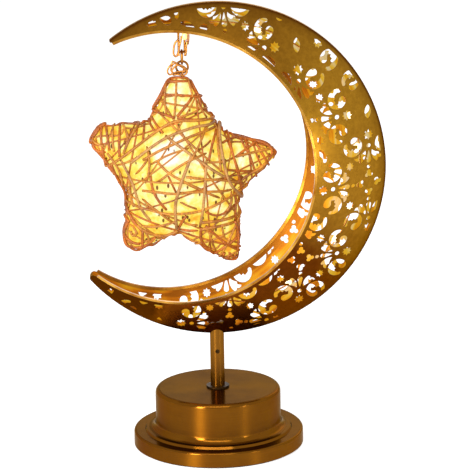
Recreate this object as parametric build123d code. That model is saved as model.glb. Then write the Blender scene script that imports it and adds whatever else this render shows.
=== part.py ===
"""Crescent table lamp: a pierced metal crescent on a stepped round base, with a lit rattan star hung in its mouth.

The origin is on the stem's axis, on the surface that the lamp stands on. The crescent lies in the X-Z plane,
its front looks along -Y and its horns point along -X. Lengths are millimetres and angles are degrees.
"""

import math
import os

from build123d import *

# Shared small sizes
OVERRUN = 2.0
BEND_SHARE = 0.45
FACE_GAP = 0.05
SEAT_GAP = 0.1
SLIDE_GAP = 0.3

# Base
BASE_R = 50.0
BASE_WALL = 1.0
BASE_RIM_Z = 1.0
BASE_EDGE_R = 1.4
PLATE_TOP_Z = 9.6
STEP_R = 43.4
STEP_H = 1.3
STEP_DRAW = 0.8
DRUM_R = 36.9
DRUM_TOP_Z = 34.5
DRUM_EDGE_R = 2.6
FLARE_R = 4.2

# Closing plate, foot ring and the screws that hold the plate
FOOT_RING_H = 1.8
FOOT_RING_OUTER_R = 48.3
FOOT_RING_INNER_R = 41.8
CLOSER_T = 2.0
CLOSER_GAP = 0.4
POST_CIRCLE_R = 44.8
POST_R = 2.1
POST_COUNT = 3
POST_ANGLE = 90.0
SCREW_R = 1.1
SCREW_HOLE_R = 1.25
SCREW_HEAD_R = 2.3
SCREW_HEAD_H = 1.3
SCREW_GRIP = 3.2

# Battery tray with two round cells lying along Y
CELL_R = 7.1
CELL_L = 49.2
CELL_TIP_R = 2.7
CELL_TIP_H = 1.2
CELL_GAP = 0.5
CELL_COUNT = 2
SPRING_L = 4.2
SPRING_BASE_R = 4.4
SPRING_TIP_R = 2.4
CONTACT_T = 0.4
CONTACT_W = 10.0
CONTACT_H = 10.0
TRAY_WALL = 1.4
TRAY_ROOF = 1.2

# Battery door, hinged at its lower edge on the -Y side
DOOR_T = 1.6
DOOR_GAP = 0.3
DOOR_LEDGE = 0.8
DOOR_GRIP_R = 5.0
DOOR_GRIP_DEPTH = 0.6

# Slide switch beside the tray
SWITCH_X = 28.0
SWITCH_L = 9.0
SWITCH_W = 5.0
SWITCH_H = 4.6
SWITCH_TRAVEL = 2.4
KNOB_L = 2.4
KNOB_W = 2.0
KNOB_DROP = 1.0
KNOB_CLIP_L = 4.0
KNOB_CLIP_T = 0.8
SWITCH_FLOOR_T = 0.8
SLOT_GAP = 0.25

# Timer board on the tray's roof
BOARD_L = 20.0
BOARD_W = 12.0
BOARD_T = 1.2
BOARD_Y = 17.0
CHIP_L = 5.0
CHIP_W = 4.0
CHIP_H = 1.5
CHIP_X = 5.5

# Stem and what clamps it to the base
STEM_R = 4.15
STEM_BORE_R = 3.05
STEM_FIT_GAP = 0.05
COLLAR_R = 6.7
COLLAR_H = 1.0
SPREADER_R = 16.0
SPREADER_T = 1.2
LOCK_WASHER_R = 7.4
LOCK_WASHER_T = 1.0
STEM_NUT_FLATS_R = 6.5
STEM_NUT_H = 4.0
STEM_TAIL = 1.2

# Stub that carries the crescent inside the stem
STUB_R = 3.0
STUB_BORE_R = 1.7
STUB_FOOT_Z = 49.0
STUB_TOP_Z = 79.0
STUB_WASHER_R = 5.6
STUB_WASHER_T = 0.8
STUB_WASHER_Z = 74.4
STUB_NUT_FLATS_R = 4.6
STUB_NUT_H = 2.4
SET_SCREW_Z = 57.0
SET_SCREW_R = 1.25
SET_SCREW_SOCKET_R = 0.6
SET_SCREW_SOCKET_DEPTH = 0.5
GROMMET_H = 1.6
GROMMET_LIP_R = 2.9

# Crescent: two shallow domes that meet along the outer circle, open along the mouth circle
MOON_X = 1.63
MOON_Z = 166.0
MOON_R = 98.3
MOON_RISE = 38.0
MOON_EDGE_HALF = 1.6
MOON_SHEET = 0.8
MOUTH_X = -22.6
MOUTH_Z = 170.2
MOUTH_R = 80.2
HORN_LOW_ANGLE = 220.5
HORN_HIGH_ANGLE = 127.5
HORN_MID_ANGLE = (HORN_LOW_ANGLE - 360 + HORN_HIGH_ANGLE) / 2
HORN_BULGE_SHARE = 0.45
BEAD_W = 1.5
BEAD_PROUD = 0.35

# Pierced pattern: a square lattice of rosettes, each with four palmettes turned to its centre
LATTICE = 82.0
ROSETTE_X = 48.0
ROSETTE_Z = 116.6
LATTICE_REACH = 2
PALMETTE_AT = 22.0
DOT_R = 1.3
DOT_LITTLE_R = 1.15
DOT_LITTLE_AT = 9.6
PETAL_L = 7.6
PETAL_HALF_W = 1.5
PETAL_START = 2.6
PETAL_STROKE_SHARES = [
    [(0.0, 0.0), (0.40, 0.66), (0.78, 1.0)],
    [(0.78, 1.0), (1.0, 0.0), (0.78, -1.0)],
    [(0.78, -1.0), (0.40, -0.66), (0.0, 0.0)],
]
LEAF_L = 7.4
LEAF_W = 7.0
LEAF_START_U = 2.6
LEAF_START_V = 2.0
LEAF_STROKE_SHARES = [
    [(0.0, 0.0), (0.56, 0.04), (0.97, 0.38)],
    [(0.97, 0.38), (0.92, 0.56), (0.76, 0.58)],
    [(0.76, 0.58), (0.74, 0.84), (0.52, 1.0)],
    [(0.52, 1.0), (0.48, 0.66)],
    [(0.48, 0.66), (0.28, 0.60)],
    [(0.28, 0.60), (0.22, 0.34), (0.0, 0.0)],
]
SPARK_AT = -6.1
SPARK_R = 3.1
SPARK_INNER_SHARE = 0.66
SPARK_POINTS = 8
SCROLL_R = 5.7
SCROLL_AT_U = -0.4
SCROLL_AT_V = 9.7
SCROLL_STROKE_SHARES = [
    [(-0.34, -0.94), (0.88, 0.47), (-0.97, 0.24)],
    [(-0.97, 0.24), (-0.57, -0.24), (-0.17, 0.24)],
    [(-0.17, 0.24), (-0.12, 0.50), (0.24, 0.50), (0.15, 0.28), (0.33, 0.10), (0.15, -0.10), (0.30, -0.28),
     (0.06, -0.54), (-0.14, -0.62)],
    [(-0.14, -0.62), (-0.42, -0.72), (-0.34, -0.94)],
]
BUD_AT = 5.4
BUD_R = 1.3
BUD_LOBES = 3
CORNER_SPARK_AT = 16.6
CORNER_SPARK_R = 2.6
ALMOND_L = 8.0
ALMOND_HALF_W = 2.0
PATTERN_OUTER_MARGIN = 2.8
PATTERN_MOUTH_MARGIN = 2.0
PATTERN_HORN_TURN = 5.0
PATTERN_LEAST_AREA = 1.4
STEM_PATCH_R = 8.0

# Light string in the crescent, lying against the back dome
LEAD_R = 0.45
STRING_RHO = 85.0
STRING_STEPS = 13
STRING_START_ANGLE = -80.0
STRING_END_ANGLE = 92.0
LEAD_ON_BOARD = 3.0
LEAD_TURN_RISE = 6.0
LEAD_TURN_X = 7.0
LEAD_TURN_Y = 4.5
LEAD_TURN_LIFT = 1.0
DROP_R = 1.5
DROP_L = 4.6

# Hanging bar, loop, link and the star's own loop
HANG_X = -17.2
BAR_R = 1.0
BAR_LIFT = 1.4
HOOK_WIRE_R = 0.65
HOOK_GAP = 0.1
LOOP_DROP = 16.5
LINK_R = 3.9
EYE_R = 3.4
STRAND_R = 0.4
STRAND_DROP_TOP = 2.6
STRAND_DROP_FOOT = 12.0
STRAND_SPREAD = 0.6
HANGER_DROP_AT = 6.5

# Star: a round hub with five blunt arms, flattened front to back
STAR_X = -18.0
STAR_Z = 164.6
STAR_HUB_R = 35.2
STAR_ARM = 58.2
STAR_TIP_R = 8.4
STAR_ARM_SHARES = [1.0, 1.0, 0.95, 1.05, 0.96]
STAR_TIP_SHARES = [1.0, 1.15, 1.12, 0.85, 0.82]
STAR_TURN = 91.0
STAR_TURN_STEP = 72.0
STAR_TURN_EXTRAS = [0.0, -8.6, -0.8, -7.8, -7.8]
STAR_FLAT_SHARE = 0.70
STAR_TAPER = 29.5
STAR_ARM_ROOT = 5.0
CAGE_WALL = 1.7
CAGE_RIM_HALF = 1.6
STRIP_W = 1.7
ROOT_STRIP_SHARES = [(0.04, -0.03), (-0.05, 0.10), (0.13, 0.03)]
ARM_STRIP_SHARES = [(0.36, 0.52), (0.66, 0.54), (0.80, 0.88)]
LONG_STRIP_SHARES = [(0.02, 0.10), (0.12, -0.02)]
TIP_STRIP_SHARES = [(0.92, 0.30), (0.90, -0.16)]
LINING_GAP = 0.3
LINING_WALL = 0.6
FRAME_WIRE_R = 0.9
FRAME_GAP = 0.9
FRAME_CORNER_R = 3.0
EYE_HOLE_GAP = 2.3
STAR_RING_R = 15.0
STAR_RING_STEPS = 9
STAR_LEAD_Y = -1.45
STAR_LEAD_TOP = 1.2
STAR_LEAD_BEND_SHARES = [(0.10, 0.84), (0.0, 0.42)]
STAR_RING_START_ANGLE = 60.0
STAR_RING_SWEEP = -310.0

# Sizes that follow from the ones above
CLOSER_Z = FOOT_RING_H
CLOSER_TOP_Z = CLOSER_Z + CLOSER_T
CLOSER_R = BASE_R - BASE_WALL - CLOSER_GAP
TRAY_IN_X = CELL_COUNT * 2 * CELL_R + (CELL_COUNT + 1) * CELL_GAP
TRAY_IN_Y = CELL_L + CELL_TIP_H + SPRING_L + 2 * (CONTACT_T + SEAT_GAP)
TRAY_IN_Z = 2 * CELL_R + 2 * CELL_GAP
TRAY_TOP_Z = CLOSER_TOP_Z + TRAY_IN_Z + TRAY_ROOF
CELL_Z = CLOSER_TOP_Z + CELL_GAP + CELL_R
DRUM_UNDER_Z = DRUM_TOP_Z - BASE_WALL
SPREADER_Z = DRUM_UNDER_Z - SPREADER_T
LOCK_WASHER_Z = SPREADER_Z - LOCK_WASHER_T
STEM_NUT_Z = LOCK_WASHER_Z - STEM_NUT_H
STEM_FOOT_Z = STEM_NUT_Z - STEM_TAIL
SPHERE_R = (MOON_R ** 2 + MOON_RISE ** 2) / (2 * MOON_RISE)
SPHERE_BACK = SPHERE_R - MOON_RISE - MOON_EDGE_HALF
MOON_DEPTH = MOON_RISE + MOON_EDGE_HALF
BAR_Z = MOUTH_Z + math.sqrt(MOUTH_R ** 2 - (HANG_X - MOUTH_X) ** 2) + BAR_LIFT
LOOP_BEND_R = BAR_R + HOOK_GAP + HOOK_WIRE_R
LOOP_FOOT_Z = BAR_Z - LOOP_DROP
LINK_TOP_Z = LOOP_FOOT_Z + 2 * HOOK_WIRE_R + HOOK_GAP
LINK_FOOT_Z = LINK_TOP_Z - 2 * LINK_R
EYE_TOP_Z = LINK_FOOT_Z + 2 * HOOK_WIRE_R + HOOK_GAP
EYE_Z = EYE_TOP_Z - EYE_R


def dome_half(rho, inset=0.0):
    """Half the crescent's thickness at a distance from its centre, less an inset along the sphere's radius."""
    return math.sqrt((SPHERE_R - inset) ** 2 - rho ** 2) - SPHERE_BACK


def ring(outer_r, inner_r, low_z, height):
    """A flat ring about the stem's axis."""
    band = Cylinder(outer_r, height) - Cylinder(inner_r, height + OVERRUN)
    return Pos(0, 0, low_z + height / 2) * band


def hex_nut(flats_r, bore_r, low_z, height):
    """A six-sided nut about the stem's axis; flats_r is half the distance across its flats."""
    corner_r = flats_r / math.cos(math.radians(30.0))
    body = extrude(RegularPolygon(corner_r, 6) - Circle(bore_r), amount=height)
    return Pos(0, 0, low_z) * body


def polar(center_x, center_z, radius, angle):
    """A point of the X-Z plane at an angle from +X towards +Z."""
    turn = math.radians(angle)
    return center_x + radius * math.cos(turn), center_z + radius * math.sin(turn)


def lead_path(points):
    """Straight runs joined by arcs as large as the shorter run beside each corner allows."""
    vectors = [Vector(*point) for point in points]
    radii = []
    for before, corner, after in zip(vectors, vectors[1:], vectors[2:]):
        into = corner - before
        out = after - corner
        turn = math.radians(into.get_angle(out))
        radii.append(BEND_SHARE * min(into.length, out.length) / math.tan(turn / 2))
    print("bend radii", [round(radius, 1) for radius in radii])
    return FilletPolyline(*points, radius=radii)


def wire_along(path, radius):
    """A round wire along a path."""
    section = Plane(origin=path @ 0, z_dir=path % 0) * Circle(radius)
    return sweep(section, path=path)


# Base


def base_profile(inset):
    """Half section of the spun base, drawn in by an inset, closed along the axis."""
    wide_r = BASE_R - inset
    top_z = PLATE_TOP_Z - inset
    step_r = STEP_R - inset
    drum_r = DRUM_R - inset
    drum_top = DRUM_TOP_Z - inset
    fillet_r = DRUM_EDGE_R - inset
    rim_r = BASE_EDGE_R - inset
    flare_r = FLARE_R + inset
    step_z = PLATE_TOP_Z + STEP_H - inset
    low_z = BASE_RIM_Z if inset == 0 else BASE_RIM_Z - OVERRUN
    diagonal = math.sqrt(0.5)
    side = Line((wide_r, low_z), (wide_r, top_z - rim_r))
    edge = ThreePointArc(
        (wide_r, top_z - rim_r),
        (wide_r - rim_r * (1 - diagonal), top_z - rim_r * (1 - diagonal)),
        (wide_r - rim_r, top_z),
    )
    flat = Polyline(
        (wide_r - rim_r, top_z),
        (step_r, top_z),
        (step_r - STEP_DRAW, step_z),
        (drum_r + flare_r, step_z),
    )
    flare = ThreePointArc(
        (drum_r + flare_r, step_z),
        (drum_r + flare_r * (1 - diagonal), step_z + flare_r * (1 - diagonal)),
        (drum_r, step_z + flare_r),
    )
    wall = Line((drum_r, step_z + flare_r), (drum_r, drum_top - fillet_r))
    shoulder = ThreePointArc(
        (drum_r, drum_top - fillet_r),
        (drum_r - fillet_r * (1 - diagonal), drum_top - fillet_r * (1 - diagonal)),
        (drum_r - fillet_r, drum_top),
    )
    closing = Polyline((drum_r - fillet_r, drum_top), (0, drum_top), (0, low_z), (wide_r, low_z))
    return make_face(Plane.XZ * (side + edge + flat + flare + wall + shoulder + closing))


def base_cover():
    shell = revolve(base_profile(0)) - revolve(base_profile(BASE_WALL))
    return shell - Pos(0, 0, DRUM_TOP_Z) * Cylinder(STEM_R + STEM_FIT_GAP, 2 * OVERRUN)


def post_places():
    return [
        Rot(0, 0, POST_ANGLE + index * 360 / POST_COUNT) * Pos(POST_CIRCLE_R, 0, 0) for index in range(POST_COUNT)
    ]


def cover_posts():
    """Threaded posts welded under the base's flange."""
    height = PLATE_TOP_Z - BASE_WALL - CLOSER_TOP_Z
    post = Cylinder(POST_R, height) - Cylinder(SCREW_R + FACE_GAP, height + OVERRUN)
    place_z = CLOSER_TOP_Z + height / 2
    return [place * Pos(0, 0, place_z) * post for place in post_places()]


def base_screws():
    """Countersunk screws through the closing plate into the posts."""
    head = Pos(0, 0, SCREW_HEAD_H / 2) * Cone(SCREW_HEAD_R, SCREW_R, SCREW_HEAD_H)
    shank = Pos(0, 0, (SCREW_HEAD_H + CLOSER_T + SCREW_GRIP) / 2) * Cylinder(
        SCREW_R, CLOSER_T + SCREW_GRIP - SCREW_HEAD_H
    )
    slot = Box(SCREW_HEAD_R, SCREW_R / 2, SCREW_HEAD_H)
    return [place * Pos(0, 0, CLOSER_Z) * (head + shank - slot) for place in post_places()]


def bottom_plate():
    """The closing plate, with the battery opening and the switch's slot."""
    plate = Pos(0, 0, CLOSER_Z + CLOSER_T / 2) * Cylinder(CLOSER_R, CLOSER_T)
    opening = Box(TRAY_IN_X, TRAY_IN_Y, 2 * CLOSER_T)
    sink = Pos(0, 0, SCREW_HEAD_H / 2) * Cone(SCREW_HEAD_R + SEAT_GAP, SCREW_HOLE_R, SCREW_HEAD_H)
    hole = Pos(0, 0, CLOSER_T) * Cylinder(SCREW_HOLE_R, 2 * CLOSER_T)
    plate -= Pos(0, 0, CLOSER_Z + CLOSER_T / 2) * opening
    for place in post_places():
        plate -= place * Pos(0, 0, CLOSER_Z) * (sink + hole)
    slot = Box(KNOB_W + 2 * SLOT_GAP, KNOB_L + SWITCH_TRAVEL + 2 * SLOT_GAP, 2 * CLOSER_T)
    return plate - Pos(SWITCH_X, SWITCH_TRAVEL / 2, CLOSER_Z + CLOSER_T / 2) * slot


def foot_ring():
    """The non-slip ring that the lamp stands on."""
    return ring(FOOT_RING_OUTER_R, FOOT_RING_INNER_R, 0, FOOT_RING_H)


# Battery compartment


def cell_places():
    """Each cell's place, with every second cell turned end for end."""
    pitch = 2 * CELL_R + CELL_GAP
    first_x = -(CELL_COUNT - 1) * pitch / 2
    return [(first_x + index * pitch, 1 if index % 2 == 0 else -1) for index in range(CELL_COUNT)]


def cell_center_y(way):
    """The middle of a cell's can: the spring end takes more room than the tip end."""
    return way * (SPRING_L - CELL_TIP_H) / 2


def battery_cell(center_x, way):
    can = Cylinder(CELL_R, CELL_L) + Pos(0, 0, CELL_L / 2 + CELL_TIP_H / 2) * Cylinder(CELL_TIP_R, CELL_TIP_H)
    turned = Rot(-90 * way, 0, 0) * can
    return Pos(center_x, cell_center_y(way), CELL_Z) * turned


def contact_y(way):
    """The inner face of the contact plate at one end of the tray."""
    return way * (TRAY_IN_Y / 2 - CONTACT_T - SEAT_GAP / 2)


def contact_springs():
    """Sprung contacts, each a tapered coil drawn as its outer form, at the flat end of each cell."""
    springs = []
    for center_x, way in cell_places():
        coil = Cone(SPRING_BASE_R, SPRING_TIP_R, SPRING_L - SEAT_GAP)
        start_y = contact_y(-way)
        middle_y = start_y + way * SPRING_L / 2
        springs.append(Pos(center_x, middle_y, CELL_Z) * Rot(-90 * way, 0, 0) * coil)
    return springs


def contact_plates():
    """A flat metal contact against the tray's wall at both ends of each cell."""
    plates = []
    for center_x, way in cell_places():
        for end in (-1, 1):
            plate = Box(CONTACT_W, CONTACT_T, CONTACT_H)
            plates.append(Pos(center_x, contact_y(end) + end * CONTACT_T / 2, CELL_Z) * plate)
    return plates


def battery_tray():
    """An open-bottomed box over the opening in the closing plate."""
    outer = Box(TRAY_IN_X + 2 * TRAY_WALL, TRAY_IN_Y + 2 * TRAY_WALL, TRAY_IN_Z + TRAY_ROOF)
    inner = Box(TRAY_IN_X, TRAY_IN_Y, TRAY_IN_Z + OVERRUN)
    middle_z = CLOSER_TOP_Z + (TRAY_IN_Z + TRAY_ROOF) / 2
    inner_z = CLOSER_TOP_Z + (TRAY_IN_Z - OVERRUN) / 2
    return Pos(0, 0, middle_z) * outer - Pos(0, 0, inner_z) * inner


def battery_door():
    """The lid of the battery opening, with a finger hollow near its free edge."""
    length = TRAY_IN_Y - 2 * DOOR_GAP
    lid = Pos(0, 0, CLOSER_Z + DOOR_T / 2) * Box(TRAY_IN_X - 2 * DOOR_GAP, length, DOOR_T)
    hollow = Cylinder(DOOR_GRIP_R, 2 * DOOR_GRIP_DEPTH)
    return lid - Pos(0, length / 2 - 2 * DOOR_GRIP_R, CLOSER_Z) * hollow


# Switch and board


def switch_body():
    """The switch's can, open below over the slot in the closing plate."""
    outer = Box(SWITCH_W, SWITCH_L, SWITCH_H)
    clip_z = KNOB_CLIP_T + 2 * SLOT_GAP
    inner_l = KNOB_CLIP_L + SWITCH_TRAVEL + 2 * SLOT_GAP
    inner = Box(SWITCH_W - 2 * SWITCH_FLOOR_T, inner_l, clip_z + OVERRUN)
    middle_z = CLOSER_TOP_Z + SWITCH_H / 2
    inner_z = CLOSER_TOP_Z + (clip_z - OVERRUN) / 2
    return Pos(SWITCH_X, SWITCH_TRAVEL / 2, middle_z) * outer - Pos(SWITCH_X, SWITCH_TRAVEL / 2, inner_z) * inner


def switch_slider():
    """The knob below the plate and the clip that rides on the plate inside the can, in the off place."""
    knob_h = KNOB_DROP + CLOSER_T + SLOT_GAP
    knob = Pos(0, 0, CLOSER_Z - KNOB_DROP + knob_h / 2) * Box(KNOB_W, KNOB_L, knob_h)
    clip_w = SWITCH_W - 2 * SWITCH_FLOOR_T - 2 * SLOT_GAP
    clip_z = CLOSER_TOP_Z + SEAT_GAP + KNOB_CLIP_T / 2
    clip = Pos(0, 0, clip_z) * Box(clip_w, KNOB_CLIP_L, KNOB_CLIP_T)
    return Pos(SWITCH_X, 0, 0) * (knob + clip)


def driver_board():
    return Pos(0, BOARD_Y, TRAY_TOP_Z + BOARD_T / 2) * Box(BOARD_L, BOARD_W, BOARD_T)


def board_chip():
    return Pos(CHIP_X, BOARD_Y, TRAY_TOP_Z + BOARD_T + CHIP_H / 2) * Box(CHIP_L, CHIP_W, CHIP_H)


# Stem


def stem_tube():
    """The stem, its upper end cut to sit against the crescent's two domes."""
    tube = ring(STEM_R, STEM_BORE_R, STEM_FOOT_Z, STUB_WASHER_Z - STEM_FOOT_Z)
    seat = moon_outline(outer_inset=-SEAT_GAP)
    tube -= dome_body(-1, -SEAT_GAP, seat)
    tube -= dome_body(1, -SEAT_GAP, seat)
    screw_hole = Rot(90, 0, 0) * Cylinder(SET_SCREW_R + FACE_GAP, STEM_R)
    return tube - Pos(0, -STEM_R, SET_SCREW_Z) * screw_hole


def set_screw():
    """The headless screw that locks the stub in the stem."""
    length = STEM_R - STUB_R - FACE_GAP
    body = Cylinder(SET_SCREW_R, length)
    socket = Pos(0, 0, length / 2) * Cylinder(SET_SCREW_SOCKET_R, 2 * SET_SCREW_SOCKET_DEPTH)
    return Pos(0, -(STUB_R + FACE_GAP + length / 2), SET_SCREW_Z) * Rot(90, 0, 0) * (body - socket)


def stem_collar():
    return ring(COLLAR_R, STEM_R + STEM_FIT_GAP, DRUM_TOP_Z, COLLAR_H)


def spreader_washer():
    return ring(SPREADER_R, STEM_R + STEM_FIT_GAP, SPREADER_Z, SPREADER_T)


def lock_washer():
    return ring(LOCK_WASHER_R, STEM_R + STEM_FIT_GAP, LOCK_WASHER_Z, LOCK_WASHER_T)


def stem_nut():
    return hex_nut(STEM_NUT_FLATS_R, STEM_R + STEM_FIT_GAP, STEM_NUT_Z, STEM_NUT_H)


def crescent_stub():
    """The threaded tube that stands in the stem and carries the crescent."""
    return ring(STUB_R, STUB_BORE_R, STUB_FOOT_Z, STUB_TOP_Z - STUB_FOOT_Z)


def stub_washer():
    return ring(STUB_WASHER_R, STUB_R + STEM_FIT_GAP, STUB_WASHER_Z, STUB_WASHER_T)


def stub_nut():
    return hex_nut(STUB_NUT_FLATS_R, STUB_R + STEM_FIT_GAP, STUB_WASHER_Z + STUB_WASHER_T, STUB_NUT_H)


def wire_grommet():
    """A soft bush in the stub's top, round the light string's lead."""
    bore_r = LEAD_R + FACE_GAP
    lip = ring(GROMMET_LIP_R, bore_r, STUB_TOP_Z, GROMMET_H)
    return lip + ring(STUB_BORE_R - FACE_GAP, bore_r, STUB_TOP_Z - GROMMET_H, GROMMET_H)


# Crescent


def mouth_point(angle, mouth_r):
    """Where a ray from the crescent's centre leaves the mouth circle."""
    turn = math.radians(angle)
    away_x = MOUTH_X - MOON_X
    away_z = MOUTH_Z - MOON_Z
    along = away_x * math.cos(turn) + away_z * math.sin(turn)
    reach = along + math.sqrt(along ** 2 - away_x ** 2 - away_z ** 2 + mouth_r ** 2)
    return polar(MOON_X, MOON_Z, reach, angle)


def horn_end(start, end):
    """The rounded end of a horn, bulging to the right of the way from start to end."""
    span_x = end[0] - start[0]
    span_z = end[1] - start[1]
    middle_x = (start[0] + end[0]) / 2
    middle_z = (start[1] + end[1]) / 2
    bulge = (middle_x + HORN_BULGE_SHARE * span_z, middle_z - HORN_BULGE_SHARE * span_x)
    return ThreePointArc(start, bulge, end)


def moon_outline(outer_inset=0.0, mouth_shift=0.0, horn_turn=0.0):
    """The crescent's outline in the X-Z plane: outer arc, mouth arc and two rounded horn ends."""
    outer_r = MOON_R - outer_inset
    mouth_r = MOUTH_R + mouth_shift
    low = HORN_LOW_ANGLE + horn_turn
    high = HORN_HIGH_ANGLE - horn_turn
    low_outer = polar(MOON_X, MOON_Z, outer_r, low)
    high_outer = polar(MOON_X, MOON_Z, outer_r, high)
    low_inner = mouth_point(low, mouth_r)
    high_inner = mouth_point(high, mouth_r)
    edges = [
        ThreePointArc(low_outer, polar(MOON_X, MOON_Z, outer_r, HORN_MID_ANGLE), high_outer),
        horn_end(high_outer, high_inner),
        ThreePointArc(high_inner, polar(MOUTH_X, MOUTH_Z, mouth_r, HORN_MID_ANGLE), low_inner),
        horn_end(low_inner, low_outer),
    ]
    return Plane.XZ * make_face(edges)


def bead_outline(outer_r, inner_r):
    """The band along the mouth circle from horn to horn."""
    corners = [mouth_point(angle, radius) for angle in (HORN_LOW_ANGLE, HORN_HIGH_ANGLE) for radius in (outer_r, inner_r)]
    low_outer, low_inner, high_outer, high_inner = corners
    edges = [
        ThreePointArc(low_outer, polar(MOUTH_X, MOUTH_Z, outer_r, HORN_MID_ANGLE), high_outer),
        Line(high_outer, high_inner),
        ThreePointArc(high_inner, polar(MOUTH_X, MOUTH_Z, inner_r, HORN_MID_ANGLE), low_inner),
        Line(low_inner, low_outer),
    ]
    return Plane.XZ * make_face(edges)


def dome_body(side, inset, outline):
    """The solid under one dome over an outline, from the seam outwards; side is -1 in front and 1 behind."""
    sphere = Pos(MOON_X, -side * SPHERE_BACK, MOON_Z) * Sphere(SPHERE_R - inset)
    prism = extrude(outline, amount=-side * (MOON_DEPTH + OVERRUN))
    return prism & sphere


def strokes_face(stroke_shares, size_u, size_v, start=(0.0, 0.0), side=1):
    """A closed outline: a stroke of three points is an arc, any other is straight from point to point."""
    edges = []
    for stroke in stroke_shares:
        points = [(start[0] + u * size_u, side * (start[1] + v * size_v)) for u, v in stroke]
        edges.append(ThreePointArc(*points) if len(points) == 3 else Polyline(*points))
    return make_face(Curve() + edges)


def spark_face(radius):
    """A small star with short rays."""
    points = []
    for index in range(2 * SPARK_POINTS):
        reach = radius if index % 2 == 0 else radius * SPARK_INNER_SHARE
        points.append(polar(0, 0, reach, index * 180 / SPARK_POINTS))
    return make_face(Polyline(*points, close=True))


def bud_face():
    """Three round lobes that run together."""
    bud = Sketch()
    for index in range(BUD_LOBES):
        bud += Pos(*polar(0, 0, BUD_R, index * 360 / BUD_LOBES)) * Circle(BUD_R)
    return bud


def palmette_faces():
    """One palmette: the rosette's centre lies along +X, PALMETTE_AT away from the dot at the origin."""
    faces = [
        Circle(DOT_R),
        Pos(DOT_LITTLE_AT + PETAL_START, 0) * Circle(DOT_LITTLE_R),
        strokes_face(PETAL_STROKE_SHARES, PETAL_L, PETAL_HALF_W, (PETAL_START, 0.0)),
        Pos(SPARK_AT, 0) * spark_face(SPARK_R),
        Pos(PALMETTE_AT - BUD_AT, 0) * Rot(0, 0, 180) * bud_face(),
    ]
    for side in (-1, 1):
        faces.append(strokes_face(LEAF_STROKE_SHARES, LEAF_L, LEAF_W, (LEAF_START_U, LEAF_START_V), side))
        scroll = strokes_face(SCROLL_STROKE_SHARES, SCROLL_R, SCROLL_R, side=-side)
        faces.append(Pos(SCROLL_AT_U, side * SCROLL_AT_V) * scroll)
    return faces


def rosette_faces():
    """Everything that repeats about one rosette's centre, which is the origin."""
    faces = []
    for quarter in range(4):
        turn = Rot(0, 0, 90 * quarter)
        faces += [turn * Pos(-PALMETTE_AT, 0) * face for face in palmette_faces()]
        faces.append(turn * Rot(0, 0, 45) * Pos(CORNER_SPARK_AT, 0) * spark_face(CORNER_SPARK_R))
    almond = [
        ThreePointArc((0, -ALMOND_L / 2), (ALMOND_HALF_W, 0), (0, ALMOND_L / 2)),
        ThreePointArc((0, ALMOND_L / 2), (-ALMOND_HALF_W, 0), (0, -ALMOND_L / 2)),
    ]
    faces.append(Pos(LATTICE / 2, 0) * make_face(almond))
    return faces


def pattern_prisms():
    """The pierced openings of both domes, as prisms along Y, kept off the edges and the stem."""
    allowed = moon_outline(PATTERN_OUTER_MARGIN, PATTERN_MOUTH_MARGIN, PATTERN_HORN_TURN)
    allowed -= Plane.XZ * Pos(0, MOON_Z - MOON_R) * Circle(STEM_PATCH_R)
    faces = rosette_faces()
    prisms = []
    for row in range(-LATTICE_REACH, LATTICE_REACH + 1):
        for column in range(-LATTICE_REACH, LATTICE_REACH + 1):
            for shift in (0, LATTICE / 2):
                place = Pos(ROSETTE_X + column * LATTICE + shift, ROSETTE_Z + row * LATTICE + shift)
                for face in faces:
                    prisms += pierced(Plane.XZ * place * face, allowed)
    return prisms


def pierced(face, allowed):
    """The prisms of the part of one opening that lies in the allowed band."""
    center = face.center()
    reach = face.bounding_box().diagonal / 2
    rho = math.hypot(center.X - MOON_X, center.Z - MOON_Z)
    from_mouth = math.hypot(center.X - MOUTH_X, center.Z - MOUTH_Z)
    if rho - reach > MOON_R or from_mouth + reach < MOUTH_R:
        return []
    kept = face & allowed
    if kept is None:
        return []
    return [
        extrude(part, amount=MOON_DEPTH + OVERRUN, both=True)
        for part in kept.faces()
        if part.area > PATTERN_LEAST_AREA
    ]


def dome_shell(side, prisms):
    """One pierced half of the crescent, open along the seam plane and along the mouth."""
    sheet_turn = math.degrees(MOON_SHEET / MOON_R)
    hollow = moon_outline(MOON_SHEET, -OVERRUN, sheet_turn)
    shell = dome_body(side, 0, moon_outline()) - dome_body(side, MOON_SHEET, hollow)
    shell -= Pos(0, 0, STUB_WASHER_Z) * Cylinder(STUB_R + FACE_GAP, 2 * (STUB_WASHER_Z - MOON_Z + MOON_R) + OVERRUN)
    return shell - prisms


def rim_bead(side):
    """The bright wire along one dome's mouth edge."""
    outer_r = MOUTH_R - FACE_GAP
    inner_r = MOUTH_R - BEAD_W
    band = dome_body(side, -BEAD_PROUD, bead_outline(outer_r, inner_r))
    under = dome_body(side, MOON_SHEET + BEAD_PROUD, bead_outline(MOUTH_R + OVERRUN, inner_r - OVERRUN))
    return band - under


def hanger_bar():
    """The bar between the two domes that the star hangs from."""
    bar = Pos(HANG_X, 0, BAR_Z) * Rot(90, 0, 0) * Cylinder(BAR_R, 2 * MOON_DEPTH)
    for side in (-1, 1):
        bar &= Pos(MOON_X, -side * SPHERE_BACK, MOON_Z) * Sphere(SPHERE_R - MOON_SHEET - FACE_GAP)
    return bar


# Light string


def string_points():
    """Where the light string bends along the inside of the back dome."""
    points = []
    for index in range(STRING_STEPS + 1):
        share = index / STRING_STEPS
        angle = STRING_START_ANGLE + share * (STRING_END_ANGLE - STRING_START_ANGLE)
        x, z = polar(MOON_X, MOON_Z, STRING_RHO, angle)
        points.append((x, dome_half(STRING_RHO, MOON_SHEET + LEAD_R + SEAT_GAP), z))
    return points


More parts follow.
